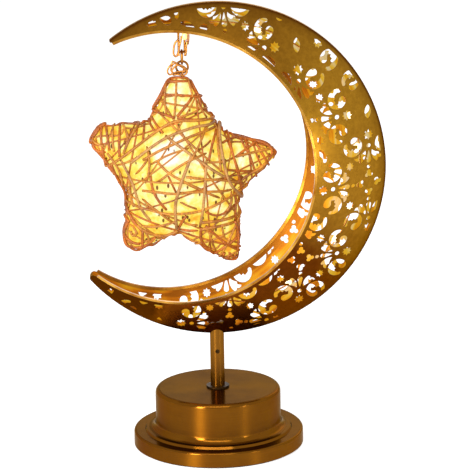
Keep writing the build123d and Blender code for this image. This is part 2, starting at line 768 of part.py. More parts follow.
def light_string():
    """The whole lead: over the timer board, up through the stem and round the crescent."""
    board_z = TRAY_TOP_Z + BOARD_T + LEAD_R + FACE_GAP
    turn_z = STUB_TOP_Z + LEAD_TURN_RISE
    points = [
        (0, BOARD_Y - BOARD_W / 2 + LEAD_ON_BOARD, board_z),
        (0, 0, board_z),
        (0, 0, turn_z),
        (LEAD_TURN_X, LEAD_TURN_Y, turn_z + LEAD_TURN_LIFT),
    ]
    return wire_along(lead_path(points + string_points()), LEAD_R)


def light_drop(center, along):
    """One clear drop over a light, long in the way that its wire runs."""
    body = Cylinder(DROP_R, DROP_L - 2 * DROP_R)
    for side in (-1, 1):
        body += Pos(0, 0, side * (DROP_L / 2 - DROP_R)) * Sphere(DROP_R)
    return Plane(origin=center, z_dir=along) * body


def crescent_drops():
    """Drops along the string, halfway between its bends, on its side away from the dome."""
    drops = []
    sphere_center = Vector(MOON_X, -SPHERE_BACK, MOON_Z)
    points = [Vector(*point) for point in string_points()]
    for before, after in zip(points[1:-2], points[2:-1]):
        place = (before + after) / 2
        inward = (sphere_center - place).normalized()
        drops.append(light_drop(place + inward * (LEAD_R + DROP_R + SEAT_GAP), after - before))
    return drops


# Hanger and star


def hanger_loop():
    """A long wire loop over the bar."""
    foot_z = LOOP_FOOT_Z + LOOP_BEND_R
    left = HANG_X - LOOP_BEND_R
    right = HANG_X + LOOP_BEND_R
    path = Wire([
        ThreePointArc((right, 0, BAR_Z), (HANG_X, 0, BAR_Z + LOOP_BEND_R), (left, 0, BAR_Z)),
        Line((left, 0, BAR_Z), (left, 0, foot_z)),
        ThreePointArc((left, 0, foot_z), (HANG_X, 0, LOOP_FOOT_Z), (right, 0, foot_z)),
        Line((right, 0, foot_z), (right, 0, BAR_Z)),
    ])
    return wire_along(path, HOOK_WIRE_R)


def hanger_strands():
    """The two bare strands of the star's lead, beside the loop."""
    strands = []
    side_x = HANG_X + LOOP_BEND_R + HOOK_WIRE_R + STRAND_R + SEAT_GAP
    for index in range(2):
        shift = index * (2 * STRAND_R + SEAT_GAP)
        top = (side_x + shift, -index * STRAND_SPREAD, BAR_Z - STRAND_DROP_TOP)
        middle = (side_x + shift + STRAND_SPREAD, 0, BAR_Z - (STRAND_DROP_TOP + STRAND_DROP_FOOT) / 2)
        foot = (side_x + shift, index * STRAND_SPREAD, BAR_Z - STRAND_DROP_FOOT)
        strands.append(wire_along(lead_path([top, middle, foot]), STRAND_R))
    return strands


def hanger_drop():
    """The bright light at the top of the star's lead."""
    center = (HANG_X + LOOP_BEND_R, -(HOOK_WIRE_R + DROP_R + FACE_GAP), BAR_Z - HANGER_DROP_AT)
    return light_drop(center, (0, 0, 1))


def hanger_link():
    """The ring between the loop and the star's eye, seen edge on from in front."""
    middle_z = (LINK_TOP_Z + LINK_FOOT_Z) / 2
    return Pos(HANG_X, 0, middle_z) * Rot(0, 90, 0) * Torus(LINK_R, HOOK_WIRE_R)


def star_eye():
    """The eye on the star's top, with a shank that goes down to the frame."""
    eye = Pos(HANG_X, 0, EYE_Z) * Rot(90, 0, 0) * Torus(EYE_R, HOOK_WIRE_R)
    top = EYE_Z - EYE_R
    length = top - frame_top_z()
    return eye + Pos(HANG_X, 0, top - length / 2) * Cylinder(HOOK_WIRE_R, length)


def star_arms():
    """The angle, length and tip radius of each arm, from the top one round."""
    return [
        (STAR_TURN + index * STAR_TURN_STEP + extra, STAR_ARM * long_share, STAR_TIP_R * tip_share)
        for index, (extra, long_share, tip_share) in enumerate(
            zip(STAR_TURN_EXTRAS, STAR_ARM_SHARES, STAR_TIP_SHARES)
        )
    ]


def arm_flank(index):
    """How far an arm's flanks pass from the star's centre."""
    _, length, tip_r = star_arms()[index % len(STAR_ARM_SHARES)]
    return tip_r + (length - tip_r) * math.sin(math.radians(STAR_TAPER))


def star_valley(index, shrink):
    """The hollow after an arm, where the flanks of the drawn-in star cross."""
    angle = star_arms()[index][0]
    half_gap = (star_arms()[(index + 1) % len(STAR_ARM_SHARES)][0] - angle) % 360 / 2
    flank = min(arm_flank(index), arm_flank(index + 1)) - shrink
    reach = flank / math.cos(math.radians(half_gap - 90 + STAR_TAPER))
    return polar(0, 0, reach, angle + half_gap)


def star_corners(shrink):
    """The tip of each arm and the hollow after it, about the star's centre."""
    tips = [polar(0, 0, length - shrink, angle) for angle, length, _ in star_arms()]
    valleys = [star_valley(index, shrink) for index in range(len(tips))]
    return tips, valleys


def star_solid(shrink):
    """The star's form about its centre before it is flattened, drawn in all round by a shrink."""
    taper = math.radians(STAR_TAPER)
    body = Sphere(STAR_HUB_R - shrink)
    for angle, length, full_tip_r in star_arms():
        tip_r = full_tip_r - shrink
        tip_s = length - full_tip_r
        root_w = tip_r / math.cos(taper) + (tip_s - STAR_ARM_ROOT) * math.tan(taper)
        shoulder = (tip_s + tip_r * math.sin(taper), tip_r * math.cos(taper))
        half = math.radians((90 - STAR_TAPER) / 2)
        on_tip = (tip_s + tip_r * math.cos(half), tip_r * math.sin(half))
        side = Polyline((tip_s + tip_r, 0), (STAR_ARM_ROOT, 0), (STAR_ARM_ROOT, root_w), shoulder)
        tip = ThreePointArc(shoulder, on_tip, (tip_s + tip_r, 0))
        arm = revolve(make_face(Curve() + [side, tip]), axis=Axis.X)
        body += Rot(0, -angle, 0) * arm
    return body


def star_shell(shrink, wall):
    """A shell of the star's form, with a hole in its top for the eye's shank."""
    hole = Pos(HANG_X - STAR_X, 0, STAR_ARM) * Cylinder(HOOK_WIRE_R + EYE_HOLE_GAP, 4 * STAR_TIP_R)
    return star_solid(shrink) - star_solid(shrink + wall) - hole


def star_placed(shape):
    """A shape about the star's centre, flattened front to back and moved into the crescent's mouth."""
    return Pos(STAR_X, 0, STAR_Z) * scale(shape, by=(1, STAR_FLAT_SHARE, 1))


def toward(start, end, share):
    """The point at a share of the way between two points."""
    return start[0] + share * (end[0] - start[0]), start[1] + share * (end[1] - start[1])


def strip_lines():
    """The runs of the star's strips as seen from in front, from outline to outline."""
    tips, valleys = star_corners(0)
    count = len(tips)
    lines = []
    for index, tip in enumerate(tips):
        before = valleys[index - 1]
        after = valleys[index]
        across = valleys[(index + 2) % count]
        for low_share, high_share in ROOT_STRIP_SHARES + ARM_STRIP_SHARES:
            lines.append((toward(before, tip, low_share), toward(after, tip, high_share)))
        for low_share, high_share in LONG_STRIP_SHARES:
            lines.append((toward(after, tip, low_share), toward(across, tips[(index + 2) % count], high_share)))
        for tip_share, root_share in TIP_STRIP_SHARES:
            lines.append((toward((0, 0), tip, tip_share), toward(before, after, 0.5 + root_share)))
    return lines


def star_cage():
    """The rattan strips wound about the star, crossing each other from outline to outline."""
    shell = star_shell(0, CAGE_WALL)
    strips = Sketch()
    for start, end in strip_lines():
        middle = toward(start, end, 0.5)
        run_x = end[0] - start[0]
        run_z = end[1] - start[1]
        length = math.hypot(run_x, run_z) + 2 * STAR_TIP_R
        strip = Rot(0, 0, math.degrees(math.atan2(run_z, run_x))) * Rectangle(length, STRIP_W)
        strips += Pos(*middle) * strip
    wound = extrude(Plane.XZ * strips, amount=STAR_HUB_R + OVERRUN, both=True)
    rim = Box(4 * STAR_ARM, 2 * CAGE_RIM_HALF, 4 * STAR_ARM)
    return star_placed(shell & (wound + rim))


def star_lining():
    """The pale sheet between the rattan and the frame."""
    return star_placed(star_shell(CAGE_WALL + LINING_GAP, LINING_WALL))


def frame_path():
    """The frame's outline: each arm's tip and the hollow after it."""
    tips, valleys = star_corners(CAGE_WALL + LINING_GAP + LINING_WALL + FRAME_GAP + FRAME_WIRE_R)
    points = []
    for tip, valley in zip(tips, valleys):
        points += [(STAR_X + x, 0, STAR_Z + z) for x, z in (tip, valley)]
    return FilletPolyline(*points, radius=FRAME_CORNER_R, close=True)


def frame_top_z():
    """The top of the frame's wire."""
    return frame_path().bounding_box().max.Z + FRAME_WIRE_R + FACE_GAP


def star_frame():
    """The bent wire outline that gives the star its shape."""
    return wire_along(frame_path(), FRAME_WIRE_R)


def ring_points():
    """The turn of the star's light string round the hub."""
    points = []
    for index in range(STAR_RING_STEPS + 1):
        angle = STAR_RING_START_ANGLE + index * STAR_RING_SWEEP / STAR_RING_STEPS
        x, z = polar(STAR_X, STAR_Z, STAR_RING_R, angle)
        points.append((x, STAR_LEAD_Y, z))
    return points


def star_string():
    """The star's light string: down past the eye's shank and once round inside the hub."""
    points = [(HANG_X, STAR_LEAD_Y, STAR_Z + STAR_ARM + STAR_LEAD_TOP)]
    for x_share, z_share in STAR_LEAD_BEND_SHARES:
        points.append((STAR_X + x_share * STAR_RING_R, STAR_LEAD_Y, STAR_Z + z_share * STAR_ARM))
    return wire_along(lead_path(points + ring_points()), LEAD_R)


def star_drops():
    """Drops in front of the star's light string, halfway between its bends."""
    drops = []
    points = [Vector(*point) for point in ring_points()]
    for before, after in zip(points[1:-2], points[2:-1]):
        forward = Vector(0, -(LEAD_R + DROP_R + SEAT_GAP), 0)
        drops.append(light_drop((before + after) / 2 + forward, after - before))
    return drops


def build_pieces():
    """Every node of the lamp by name."""
    prisms = pattern_prisms()
    pieces = {
        "base_cover": base_cover(),
        "bottom_plate": bottom_plate(),
        "cover_posts": cover_posts(),
        "base_screws": base_screws(),
        "foot_ring": foot_ring(),
        "battery_tray": battery_tray(),
        "contact_springs": contact_springs(),
        "contact_plates": contact_plates(),
        "battery_door": battery_door(),
        "switch_body": switch_body(),
        "switch_slider": switch_slider(),
        "driver_board": driver_board(),
        "board_chip": board_chip(),
        "stem_tube": stem_tube(),
        "set_screw": set_screw(),
        "stem_collar": stem_collar(),
        "spreader_washer": spreader_washer(),
        "lock_washer": lock_washer(),
        "stem_nut": stem_nut(),
        "crescent_stub": crescent_stub(),
        "stub_washer": stub_washer(),
        "stub_nut": stub_nut(),
        "wire_grommet": wire_grommet(),
        "front_shell": dome_shell(-1, prisms),
        "back_shell": dome_shell(1, prisms),
        "front_rim_bead": rim_bead(-1),
        "back_rim_bead": rim_bead(1),
        "hanger_bar": hanger_bar(),
        "light_string": light_string(),
        "crescent_drops": crescent_drops(),
        "hanger_loop": hanger_loop(),
        "hanger_strands": hanger_strands(),
        "hanger_drop": hanger_drop(),
        "hanger_link": hanger_link(),
        "star_eye": star_eye(),
        "star_frame": star_frame(),
        "star_lining": star_lining(),
        "star_cage": star_cage(),
        "star_string": star_string(),
        "star_drops": star_drops(),
    }
    for index, (center_x, way) in enumerate(cell_places()):
        pieces[f"battery_cell_{index + 1}"] = battery_cell(center_x, way)
    return pieces


def main():
    os.makedirs("parts", exist_ok=True)
    for name, shape in build_pieces().items():
        solids = [solid for piece in shape for solid in piece.solids()] if isinstance(shape, list) else shape.solids()
        whole = solids[0] if len(solids) == 1 else Compound(children=list(solids))
        whole.label = name
        export_step(whole, f"parts/{name}.step")


main()
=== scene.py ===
"""Dresses the crescent lamp: a pierced metal crescent on a round base, with a lit rattan star hung in its mouth."""

import math
import random

import bpy
from mathutils import Matrix, Vector


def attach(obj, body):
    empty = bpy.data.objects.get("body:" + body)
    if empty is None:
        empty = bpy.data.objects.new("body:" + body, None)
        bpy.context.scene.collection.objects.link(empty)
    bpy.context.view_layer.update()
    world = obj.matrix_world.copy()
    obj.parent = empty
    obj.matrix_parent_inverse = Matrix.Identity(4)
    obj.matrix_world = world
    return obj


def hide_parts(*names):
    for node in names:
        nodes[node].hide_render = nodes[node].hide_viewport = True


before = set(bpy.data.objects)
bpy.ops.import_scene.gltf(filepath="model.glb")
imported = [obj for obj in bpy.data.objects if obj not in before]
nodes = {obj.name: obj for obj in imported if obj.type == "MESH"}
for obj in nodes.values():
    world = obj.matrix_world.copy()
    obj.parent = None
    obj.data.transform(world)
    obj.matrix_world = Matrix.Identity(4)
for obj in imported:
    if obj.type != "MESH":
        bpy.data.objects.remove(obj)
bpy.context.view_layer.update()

MM = 0.001

# The camera that the photograph was taken with, fitted to the base's and the crescent's circles
CAM_TURN = -0.0591
CAM_RISE = 0.2553
CAM_ROLL = -0.0167
CAM_FOCAL_PX = 2918.8
CAM_AWAY = 1.7
CAM_TARGET = Vector((0.01161, 0.0, 0.12621))
IMAGE_PX = 470
SENSOR_MM = 36.0

back = Vector((
    math.sin(CAM_TURN) * math.cos(CAM_RISE),
    -math.cos(CAM_TURN) * math.cos(CAM_RISE),
    math.sin(CAM_RISE),
))
level_right = (-back).cross(Vector((0, 0, 1))).normalized()
level_up = level_right.cross(-back)
cam_right = math.cos(CAM_ROLL) * level_right + math.sin(CAM_ROLL) * level_up
cam_up = -math.sin(CAM_ROLL) * level_right + math.cos(CAM_ROLL) * level_up
cam_place = CAM_TARGET + back * CAM_AWAY

camera_data = bpy.data.cameras.new("camera")
camera_data.sensor_width = SENSOR_MM
camera_data.lens = CAM_FOCAL_PX * SENSOR_MM / IMAGE_PX
camera_data.clip_end = 20
camera = bpy.data.objects.new("camera", camera_data)
bpy.context.scene.collection.objects.link(camera)
turn = Matrix((cam_right, cam_up, back)).transposed().to_4x4()
camera.matrix_world = Matrix.Translation(cam_place) @ turn
bpy.context.scene.camera = camera


def pixel_ray(px, py):
    half = IMAGE_PX / 2
    return -back + cam_right * (px - half) / CAM_FOCAL_PX - cam_up * (py - half) / CAM_FOCAL_PX


# Star sizes, as in the part's source, in metres
STAR_PLACE = Vector((-0.018, 0.0, 0.1646))
STAR_HUB_R = 0.0352
STAR_ARM = 0.0582
STAR_TIP_R = 0.0084
STAR_ARM_SHARES = [1.0, 1.0, 0.95, 1.05, 0.96]
STAR_TIP_SHARES = [1.0, 1.15, 1.12, 0.85, 0.82]
STAR_ANGLES = [91.0, 154.4, 234.2, 299.2, 371.2]
STAR_FLAT_SHARE = 0.70
STAR_TAPER = math.radians(29.5)
ARMS = [
    (math.radians(angle), STAR_ARM * long_share, STAR_TIP_R * tip_share)
    for angle, long_share, tip_share in zip(STAR_ANGLES, STAR_ARM_SHARES, STAR_TIP_SHARES)
]


def star_half(x, z, shrink):
    """Half the star's thickness at a place in its own X-Z plane, drawn in by a shrink; zero outside it."""
    best = (STAR_HUB_R - shrink) ** 2 - x * x - z * z
    for angle, length, full_tip_r in ARMS:
        along = x * math.cos(angle) + z * math.sin(angle)
        across = -x * math.sin(angle) + z * math.cos(angle)
        tip_s = length - full_tip_r
        tip_r = full_tip_r - shrink
        best = max(best, tip_r ** 2 - (along - tip_s) ** 2 - across ** 2)
        if 0 < along < tip_s + tip_r * math.sin(STAR_TAPER):
            width = tip_r / math.cos(STAR_TAPER) + (tip_s - along) * math.tan(STAR_TAPER)
            best = max(best, width ** 2 - across ** 2)
    return STAR_FLAT_SHARE * math.sqrt(best) if best > 0 else 0.0


def star_point_at(px, py, shrink):
    """The place in the star's plane that a pixel shows on the star's front."""
    ray = pixel_ray(px, py)
    y = 0.0
    x = z = 0.0
    for _ in range(8):
        reach = (y - cam_place.y) / ray.y
        point = cam_place + ray * reach
        x = point.x - STAR_PLACE.x
        z = point.z - STAR_PLACE.z
        y = 0.5 * y - 0.5 * star_half(x, z, shrink)
    return x, z


# Materials


class Tree:
    """A material's node tree with short calls for the nodes used here."""

    def __init__(self, name):
        self.material = bpy.data.materials.new(name)
        self.material.use_nodes = True
        self.tree = self.material.node_tree
        self.tree.nodes.clear()
        self.output = self.tree.nodes.new("ShaderNodeOutputMaterial")

    def node(self, kind, **values):
        made = self.tree.nodes.new(kind)
        for key, value in values.items():
            setattr(made, key, value)
        return made

    def link(self, source, target):
        self.tree.links.new(source, target)

    def put(self, socket, value):
        if isinstance(value, bpy.types.NodeSocket):
            self.link(value, socket)
        else:
            socket.default_value = value

    def place(self):
        return self.node("ShaderNodeTexCoord").outputs["Object"]

    def stretched(self, scale, turn=(0, 0, 0)):
        mapping = self.node("ShaderNodeMapping")
        self.link(self.place(), mapping.inputs["Vector"])
        mapping.inputs["Scale"].default_value = scale
        mapping.inputs["Rotation"].default_value = turn
        return mapping.outputs["Vector"]

    def noise(self, scale, detail=3.0, roughness=0.5, vector=None, distortion=0.0):
        made = self.node("ShaderNodeTexNoise")
        self.link(vector or self.place(), made.inputs["Vector"])
        made.inputs["Scale"].default_value = scale
        made.inputs["Detail"].default_value = detail
        made.inputs["Roughness"].default_value = roughness
        made.inputs["Distortion"].default_value = distortion
        return made.outputs["Fac"]

    def cells(self, scale, feature="F1", randomness=1.0, vector=None):
        made = self.node("ShaderNodeTexVoronoi", feature=feature)
        self.link(vector or self.place(), made.inputs["Vector"])
        made.inputs["Scale"].default_value = scale
        made.inputs["Randomness"].default_value = randomness
        return made.outputs["Distance"]

    def ramp(self, factor, stops):
        made = self.node("ShaderNodeValToRGB")
        band = made.color_ramp
        while len(band.elements) < len(stops):
            band.elements.new(0.5)
        for element, (position, color) in zip(band.elements, stops):
            element.position = position
            element.color = (*color, 1.0) if len(color) == 3 else color
        self.link(factor, made.inputs["Fac"])
        return made.outputs["Color"]

    def levels(self, factor, low, high, to_low=0.0, to_high=1.0):
        made = self.node("ShaderNodeMapRange")
        self.link(factor, made.inputs["Value"])
        made.inputs["From Min"].default_value = low
        made.inputs["From Max"].default_value = high
        made.inputs["To Min"].default_value = to_low
        made.inputs["To Max"].default_value = to_high
        return made.outputs["Result"]

    def math(self, operation, a, b=0.0, clamp=False):
        made = self.node("ShaderNodeMath", operation=operation, use_clamp=clamp)
        self.put(made.inputs[0], a)
        self.put(made.inputs[1], b)
        return made.outputs[0]

    def vector(self, operation, a, b=(0, 0, 0)):
        made = self.node("ShaderNodeVectorMath", operation=operation)
        self.put(made.inputs[0], a)
        self.put(made.inputs[1], b)
        return made.outputs["Value"] if operation in ("DOT_PRODUCT", "LENGTH", "DISTANCE") else made.outputs["Vector"]

    def mix(self, factor, a, b, blend="MIX"):
        made = self.node("ShaderNodeMix", data_type="RGBA", blend_type=blend)
        self.put(made.inputs[0], factor)
        self.put(made.inputs[6], a if isinstance(a, bpy.types.NodeSocket) else (*a, 1.0))
        self.put(made.inputs[7], b if isinstance(b, bpy.types.NodeSocket) else (*b, 1.0))
        return made.outputs[2]

    def axis(self, index):
        split = self.node("ShaderNodeSeparateXYZ")
        self.link(self.place(), split.inputs[0])
        return split.outputs[index]

    def bump(self, height, strength, distance, normal=None):
        made = self.node("ShaderNodeBump")
        made.inputs["Strength"].default_value = strength
        made.inputs["Distance"].default_value = distance
        self.link(height, made.inputs["Height"])
        if normal:
            self.link(normal, made.inputs["Normal"])
        return made.outputs["Normal"]

    def surface(self, **sockets):
        made = self.node("ShaderNodeBsdfPrincipled")
        for key, value in sockets.items():
            self.put(made.inputs[key.replace("_", " ")], value)
        return made.outputs["BSDF"]

    def finish(self, shader):
        self.link(shader, self.output.inputs["Surface"])
        return self.material


def srgb(red, green, blue):
    """A colour as it shows on screen, 0 to 255, as linear values."""
    return tuple((c / 255 / 12.92) if c <= 10 else ((c / 255 + 0.055) / 1.055) ** 2.4 for c in (red, green, blue))


def spun_brass(name, color, deep, level, rough, grain, stretch):
    """Brass turned on a lathe: its fine lines run round the stem's axis and draw the highlights out along it."""
    t = Tree(name)
    line = t.noise(1.0, 4.0, 0.65, t.stretched(stretch))
    cloud = t.noise(30.0, 4.0, 0.6)
    base = t.ramp(cloud, [(0.30, deep), (0.72, color)])
    streak = t.ramp(line, [(0.30, (0.84, 0.82, 0.78)), (0.70, (1.10, 1.08, 1.04))])
    normal = t.bump(line, grain, 0.0003)
    geometry = t.node("ShaderNodeNewGeometry")
    upward = t.vector("DOT_PRODUCT", geometry.outputs["Normal"], (0, 0, 1))
    # Painted reflection: faces that look upward get their own browner tone, varied in a cloud
    painted_level_reflection = t.ramp(t.noise(22.0, 5.0, 0.65), [(0.36, tuple(0.80 * c for c in level)), (0.64, tuple(1.16 * c for c in level))])
    base = t.mix(t.levels(upward, 0.90, 0.985), base, painted_level_reflection)
    shade = t.mix(1.0, base, streak, "MULTIPLY")
    round_axis = t.vector("CROSS_PRODUCT", (0, 0, 1), t.place())
    tangent = t.vector("NORMALIZE", t.vector("CROSS_PRODUCT", geometry.outputs["Normal"], round_axis))
    burnished = t.math("MULTIPLY", t.levels(upward, 0.12, 0.32), t.levels(upward, 0.94, 0.80))
    worn = t.levels(line, 0.3, 0.7, rough + 0.05, rough)
    polish = t.math("ADD", t.math("MULTIPLY", burnished, 0.62), t.levels(upward, 0.94, 0.99, 0.0, 0.42))
    roughness = t.math("SUBTRACT", worn, t.math("MULTIPLY", polish, rough))
    return t.finish(t.surface(
        Base_Color=shade, Metallic=1.0, Roughness=roughness, Normal=normal,
        Tangent=tangent, Anisotropic=0.85, Specular_Tint=(0.57, 0.48, 0.34, 1.0), Coat_Weight=0.05, Coat_Roughness=0.15,
    ))


def polished_metal(name, light, dark, rough=0.22, scale=90.0, wear=0.10):
    t = Tree(name)
    cloud = t.noise(scale, 5.0, 0.6)
    fine = t.noise(scale * 22, 2.0, 0.5)
    color = t.ramp(cloud, [(0.32, dark), (0.68, light)])
    roughness = t.levels(cloud, 0.3, 0.7, rough + wear, rough)
    normal = t.bump(fine, 0.05, 0.0002)
    return t.finish(t.surface(Base_Color=color, Metallic=1.0, Roughness=roughness, Normal=normal))


def moulded(name, color, rough=0.45, grain=900.0):
    t = Tree(name)
    fine = t.noise(grain, 3.0, 0.6)
    cloud = t.noise(55.0, 3.0, 0.5)
    brighter = tuple(min(1.0, c * 1.5 + 0.01) for c in color)
    shade = t.ramp(cloud, [(0.3, color), (0.75, brighter)])
    normal = t.bump(fine, 0.22, 0.0003)
    roughness = t.levels(fine, 0.3, 0.7, rough - 0.06, rough + 0.10)
    return t.finish(t.surface(Base_Color=shade, Roughness=roughness, Normal=normal))


# Crescent sizes, as in the part's source, in metres
MOUTH_X = -0.0226
MOUTH_Z = 0.1702
MOON_X = 0.00163
MOON_Z = 0.166
SPHERE_R = (98.3 ** 2 + 38.0 ** 2) / (2 * 38.0) * MM
SPHERE_BACK = SPHERE_R - 0.0396
STRING_RHO = 0.085
STRING_LOW = -80.0
STRING_STEP = 172.0 / 13


# The gold's tone round the crescent, by the angle in degrees about its middle
# This is painted shade and painted reflection: the gold is darkest below, lifted just over the stem, and palest on the
# right
DEEP_GOLD = (70, 32, 5)
SHADED_GOLD = (90, 42, 6)
LIFTED_GOLD = (190, 104, 24)
PLAIN_GOLD = (138, 94, 24)
PALE_GOLD = (160, 114, 30)
DULL_GOLD = (126, 84, 20)
FACE_PAINTED_SHADING = [
    (-150, DEEP_GOLD), (-116, DEEP_GOLD), (-98, LIFTED_GOLD), (-76, SHADED_GOLD), (-45, SHADED_GOLD),
    (-24, PLAIN_GOLD), (20, PALE_GOLD), (44, PALE_GOLD), (70, DULL_GOLD), (130, DULL_GOLD),
]


def shell_material(name, side):
    """Polished gold outside, with painted shade and painted reflection in its tone round the crescent; inside, a
    painted glow of the string of lights.
    """
    t = Tree(name)
    centre = (MOON_X, -side * SPHERE_BACK, MOON_Z)
    out = t.vector("NORMALIZE", t.vector("SUBTRACT", t.place(), centre))
    geometry = t.node("ShaderNodeNewGeometry")
    facing = t.vector("DOT_PRODUCT", out, geometry.outputs["True Normal"])
    inside = t.levels(facing, -0.75, -0.85)
    outside = t.levels(facing, 0.80, 0.88)

    cloud = t.noise(26.0, 5.0, 0.62)
    fine = t.noise(420.0, 3.0, 0.6)
    split = t.node("ShaderNodeSeparateXYZ")
    t.link(t.vector("SUBTRACT", t.place(), (MOON_X, 0, MOON_Z)), split.inputs[0])
    angle = t.math("ARCTAN2", split.outputs[2], split.outputs[0])
    first, last = FACE_PAINTED_SHADING[0][0], FACE_PAINTED_SHADING[-1][0]
    share = t.levels(angle, math.radians(first), math.radians(last))
    tone = t.math("ADD", share, t.levels(cloud, 0.3, 0.7, -0.018, 0.018))
    face = t.ramp(tone, [((degrees - first) / (last - first), srgb(*color)) for degrees, color in FACE_PAINTED_SHADING])
    across = t.math("MULTIPLY", split.outputs[0], split.outputs[0])
    upward = t.math("MULTIPLY", split.outputs[2], split.outputs[2])
    rho = t.math("SQRT", t.math("ADD", across, upward))
    # Painted shade: the face darkens towards its outer edge, where it curves away
    rim = t.math("ADD", t.levels(rho, 0.0915, 0.0978, 0.0, 0.42), t.levels(rho, 0.0966, 0.0978, 0.0, 0.5))
    face = t.mix(rim, face, srgb(76, 36, 6))
    worn = t.ramp(fine, [(0.35, (0.86, 0.84, 0.80)), (0.68, (1.08, 1.08, 1.08))])
    face = t.mix(1.0, face, worn, "MULTIPLY")
    # Painted shade: the walls of the pierced holes, which face neither outward nor inward, get a dark brown
    edge = t.mix(outside, srgb(96, 50, 10), face)
    color = t.mix(inside, edge, srgb(158, 94, 24))

    smooth = t.mix(outside, geometry.outputs["Normal"], out)
    normal = t.bump(fine, 0.06, 0.0003, smooth)
    roughness = t.math("ADD", t.levels(cloud, 0.3, 0.7, 0.34, 0.24), t.math("MULTIPLY", inside, 0.16))
    metal = t.surface(
        Base_Color=color, Metallic=1.0, Roughness=roughness, Normal=normal, Specular_Tint=(0.84, 0.62, 0.34, 1.0),
    )

    # Painted light: half the inside is emission, brightest along the string and at each light, streaked round the
    # mouth, darker towards the bottom and near the mouth
    beat = t.math("SUBTRACT", angle, math.radians(STRING_LOW + STRING_STEP / 2))
    beat = t.math("COSINE", t.math("MULTIPLY", beat, 360 / STRING_STEP))
    near = t.levels(t.math("ABSOLUTE", t.math("SUBTRACT", rho, STRING_RHO)), 0.022, 0.002)
    glow = t.math("ADD", t.math("MULTIPLY", near, 0.42), t.math("MULTIPLY", t.levels(beat, -1, 1), 0.22))
    glow = t.math("ADD", glow, t.math("MULTIPLY", t.noise(60.0, 4.0, 0.6), 0.62))
    glow = t.math("SUBTRACT", glow, t.levels(t.axis(2), 0.075, 0.125, 0.26, 0.0))
    mouth = t.vector("DISTANCE", t.vector("MULTIPLY", t.place(), (1, 0, 1)), (MOUTH_X, 0, MOUTH_Z))
    along = t.node("ShaderNodeCombineXYZ")
    t.link(t.math("MULTIPLY", mouth, 420.0), along.inputs[0])
    t.link(t.math("MULTIPLY", angle, 1.6), along.inputs[1])
    band = t.noise(1.0, 2.0, 0.5, along.outputs[0])
    glow = t.math("ADD", glow, t.levels(band, 0.3, 0.7, -0.34, 0.20))
    glow = t.math("ADD", glow, t.levels(mouth, 0.0835, 0.0870, -0.30, 0.08))
    warm = t.ramp(glow, [
        (0.12, srgb(120, 56, 4)), (0.34, srgb(214, 116, 10)), (0.56, srgb(250, 182, 24)), (0.76, srgb(255, 218, 60)),
        (0.98, srgb(255, 246, 186)),
    ])
    lit = t.node("ShaderNodeEmission")
    t.link(warm, lit.inputs["Color"])
    lit.inputs["Strength"].default_value = 1.0
    both = t.node("ShaderNodeMixShader")
    t.link(t.math("MULTIPLY", inside, 0.50), both.inputs[0])
    t.link(metal, both.inputs[1])
    t.link(lit.outputs[0], both.inputs[2])
    return t.finish(both.outputs[0])


def glowing(name, color, strength, edge):
    """Clear resin over a small warm light."""
    t = Tree(name)
    weight = t.node("ShaderNodeLayerWeight")
    weight.inputs["Blend"].default_value = 0.4
    shade = t.ramp(weight.outputs["Facing"], [(0.1, color), (0.9, edge)])
    cloud = t.noise(700.0, 2.0, 0.5)
    body = t.node("ShaderNodeBsdfPrincipled")
    t.link(t.mix(0.3, shade, t.ramp(cloud, [(0.3, edge), (0.7, color)])), body.inputs["Base Color"])
    body.inputs["Roughness"].default_value = 0.12
    t.link(shade, body.inputs["Emission Color"])
    body.inputs["Emission Strength"].default_value = strength
    return t.finish(body.outputs["BSDF"])


# Painted light: brighter spots on the star's lining, as pixel places with a spread in metres and an amount
HOT_SPOTS = [
    (167, 154, 0.012, 0.34), (141, 172, 0.007, 0.12), (212, 190, 0.010, 0.12), (178, 92, 0.014, 0.26),
    (186, 136, 0.008, 0.06), (150, 210, 0.008, 0.06), (248, 158, 0.010, 0.20), (104, 142, 0.008, 0.16),
]


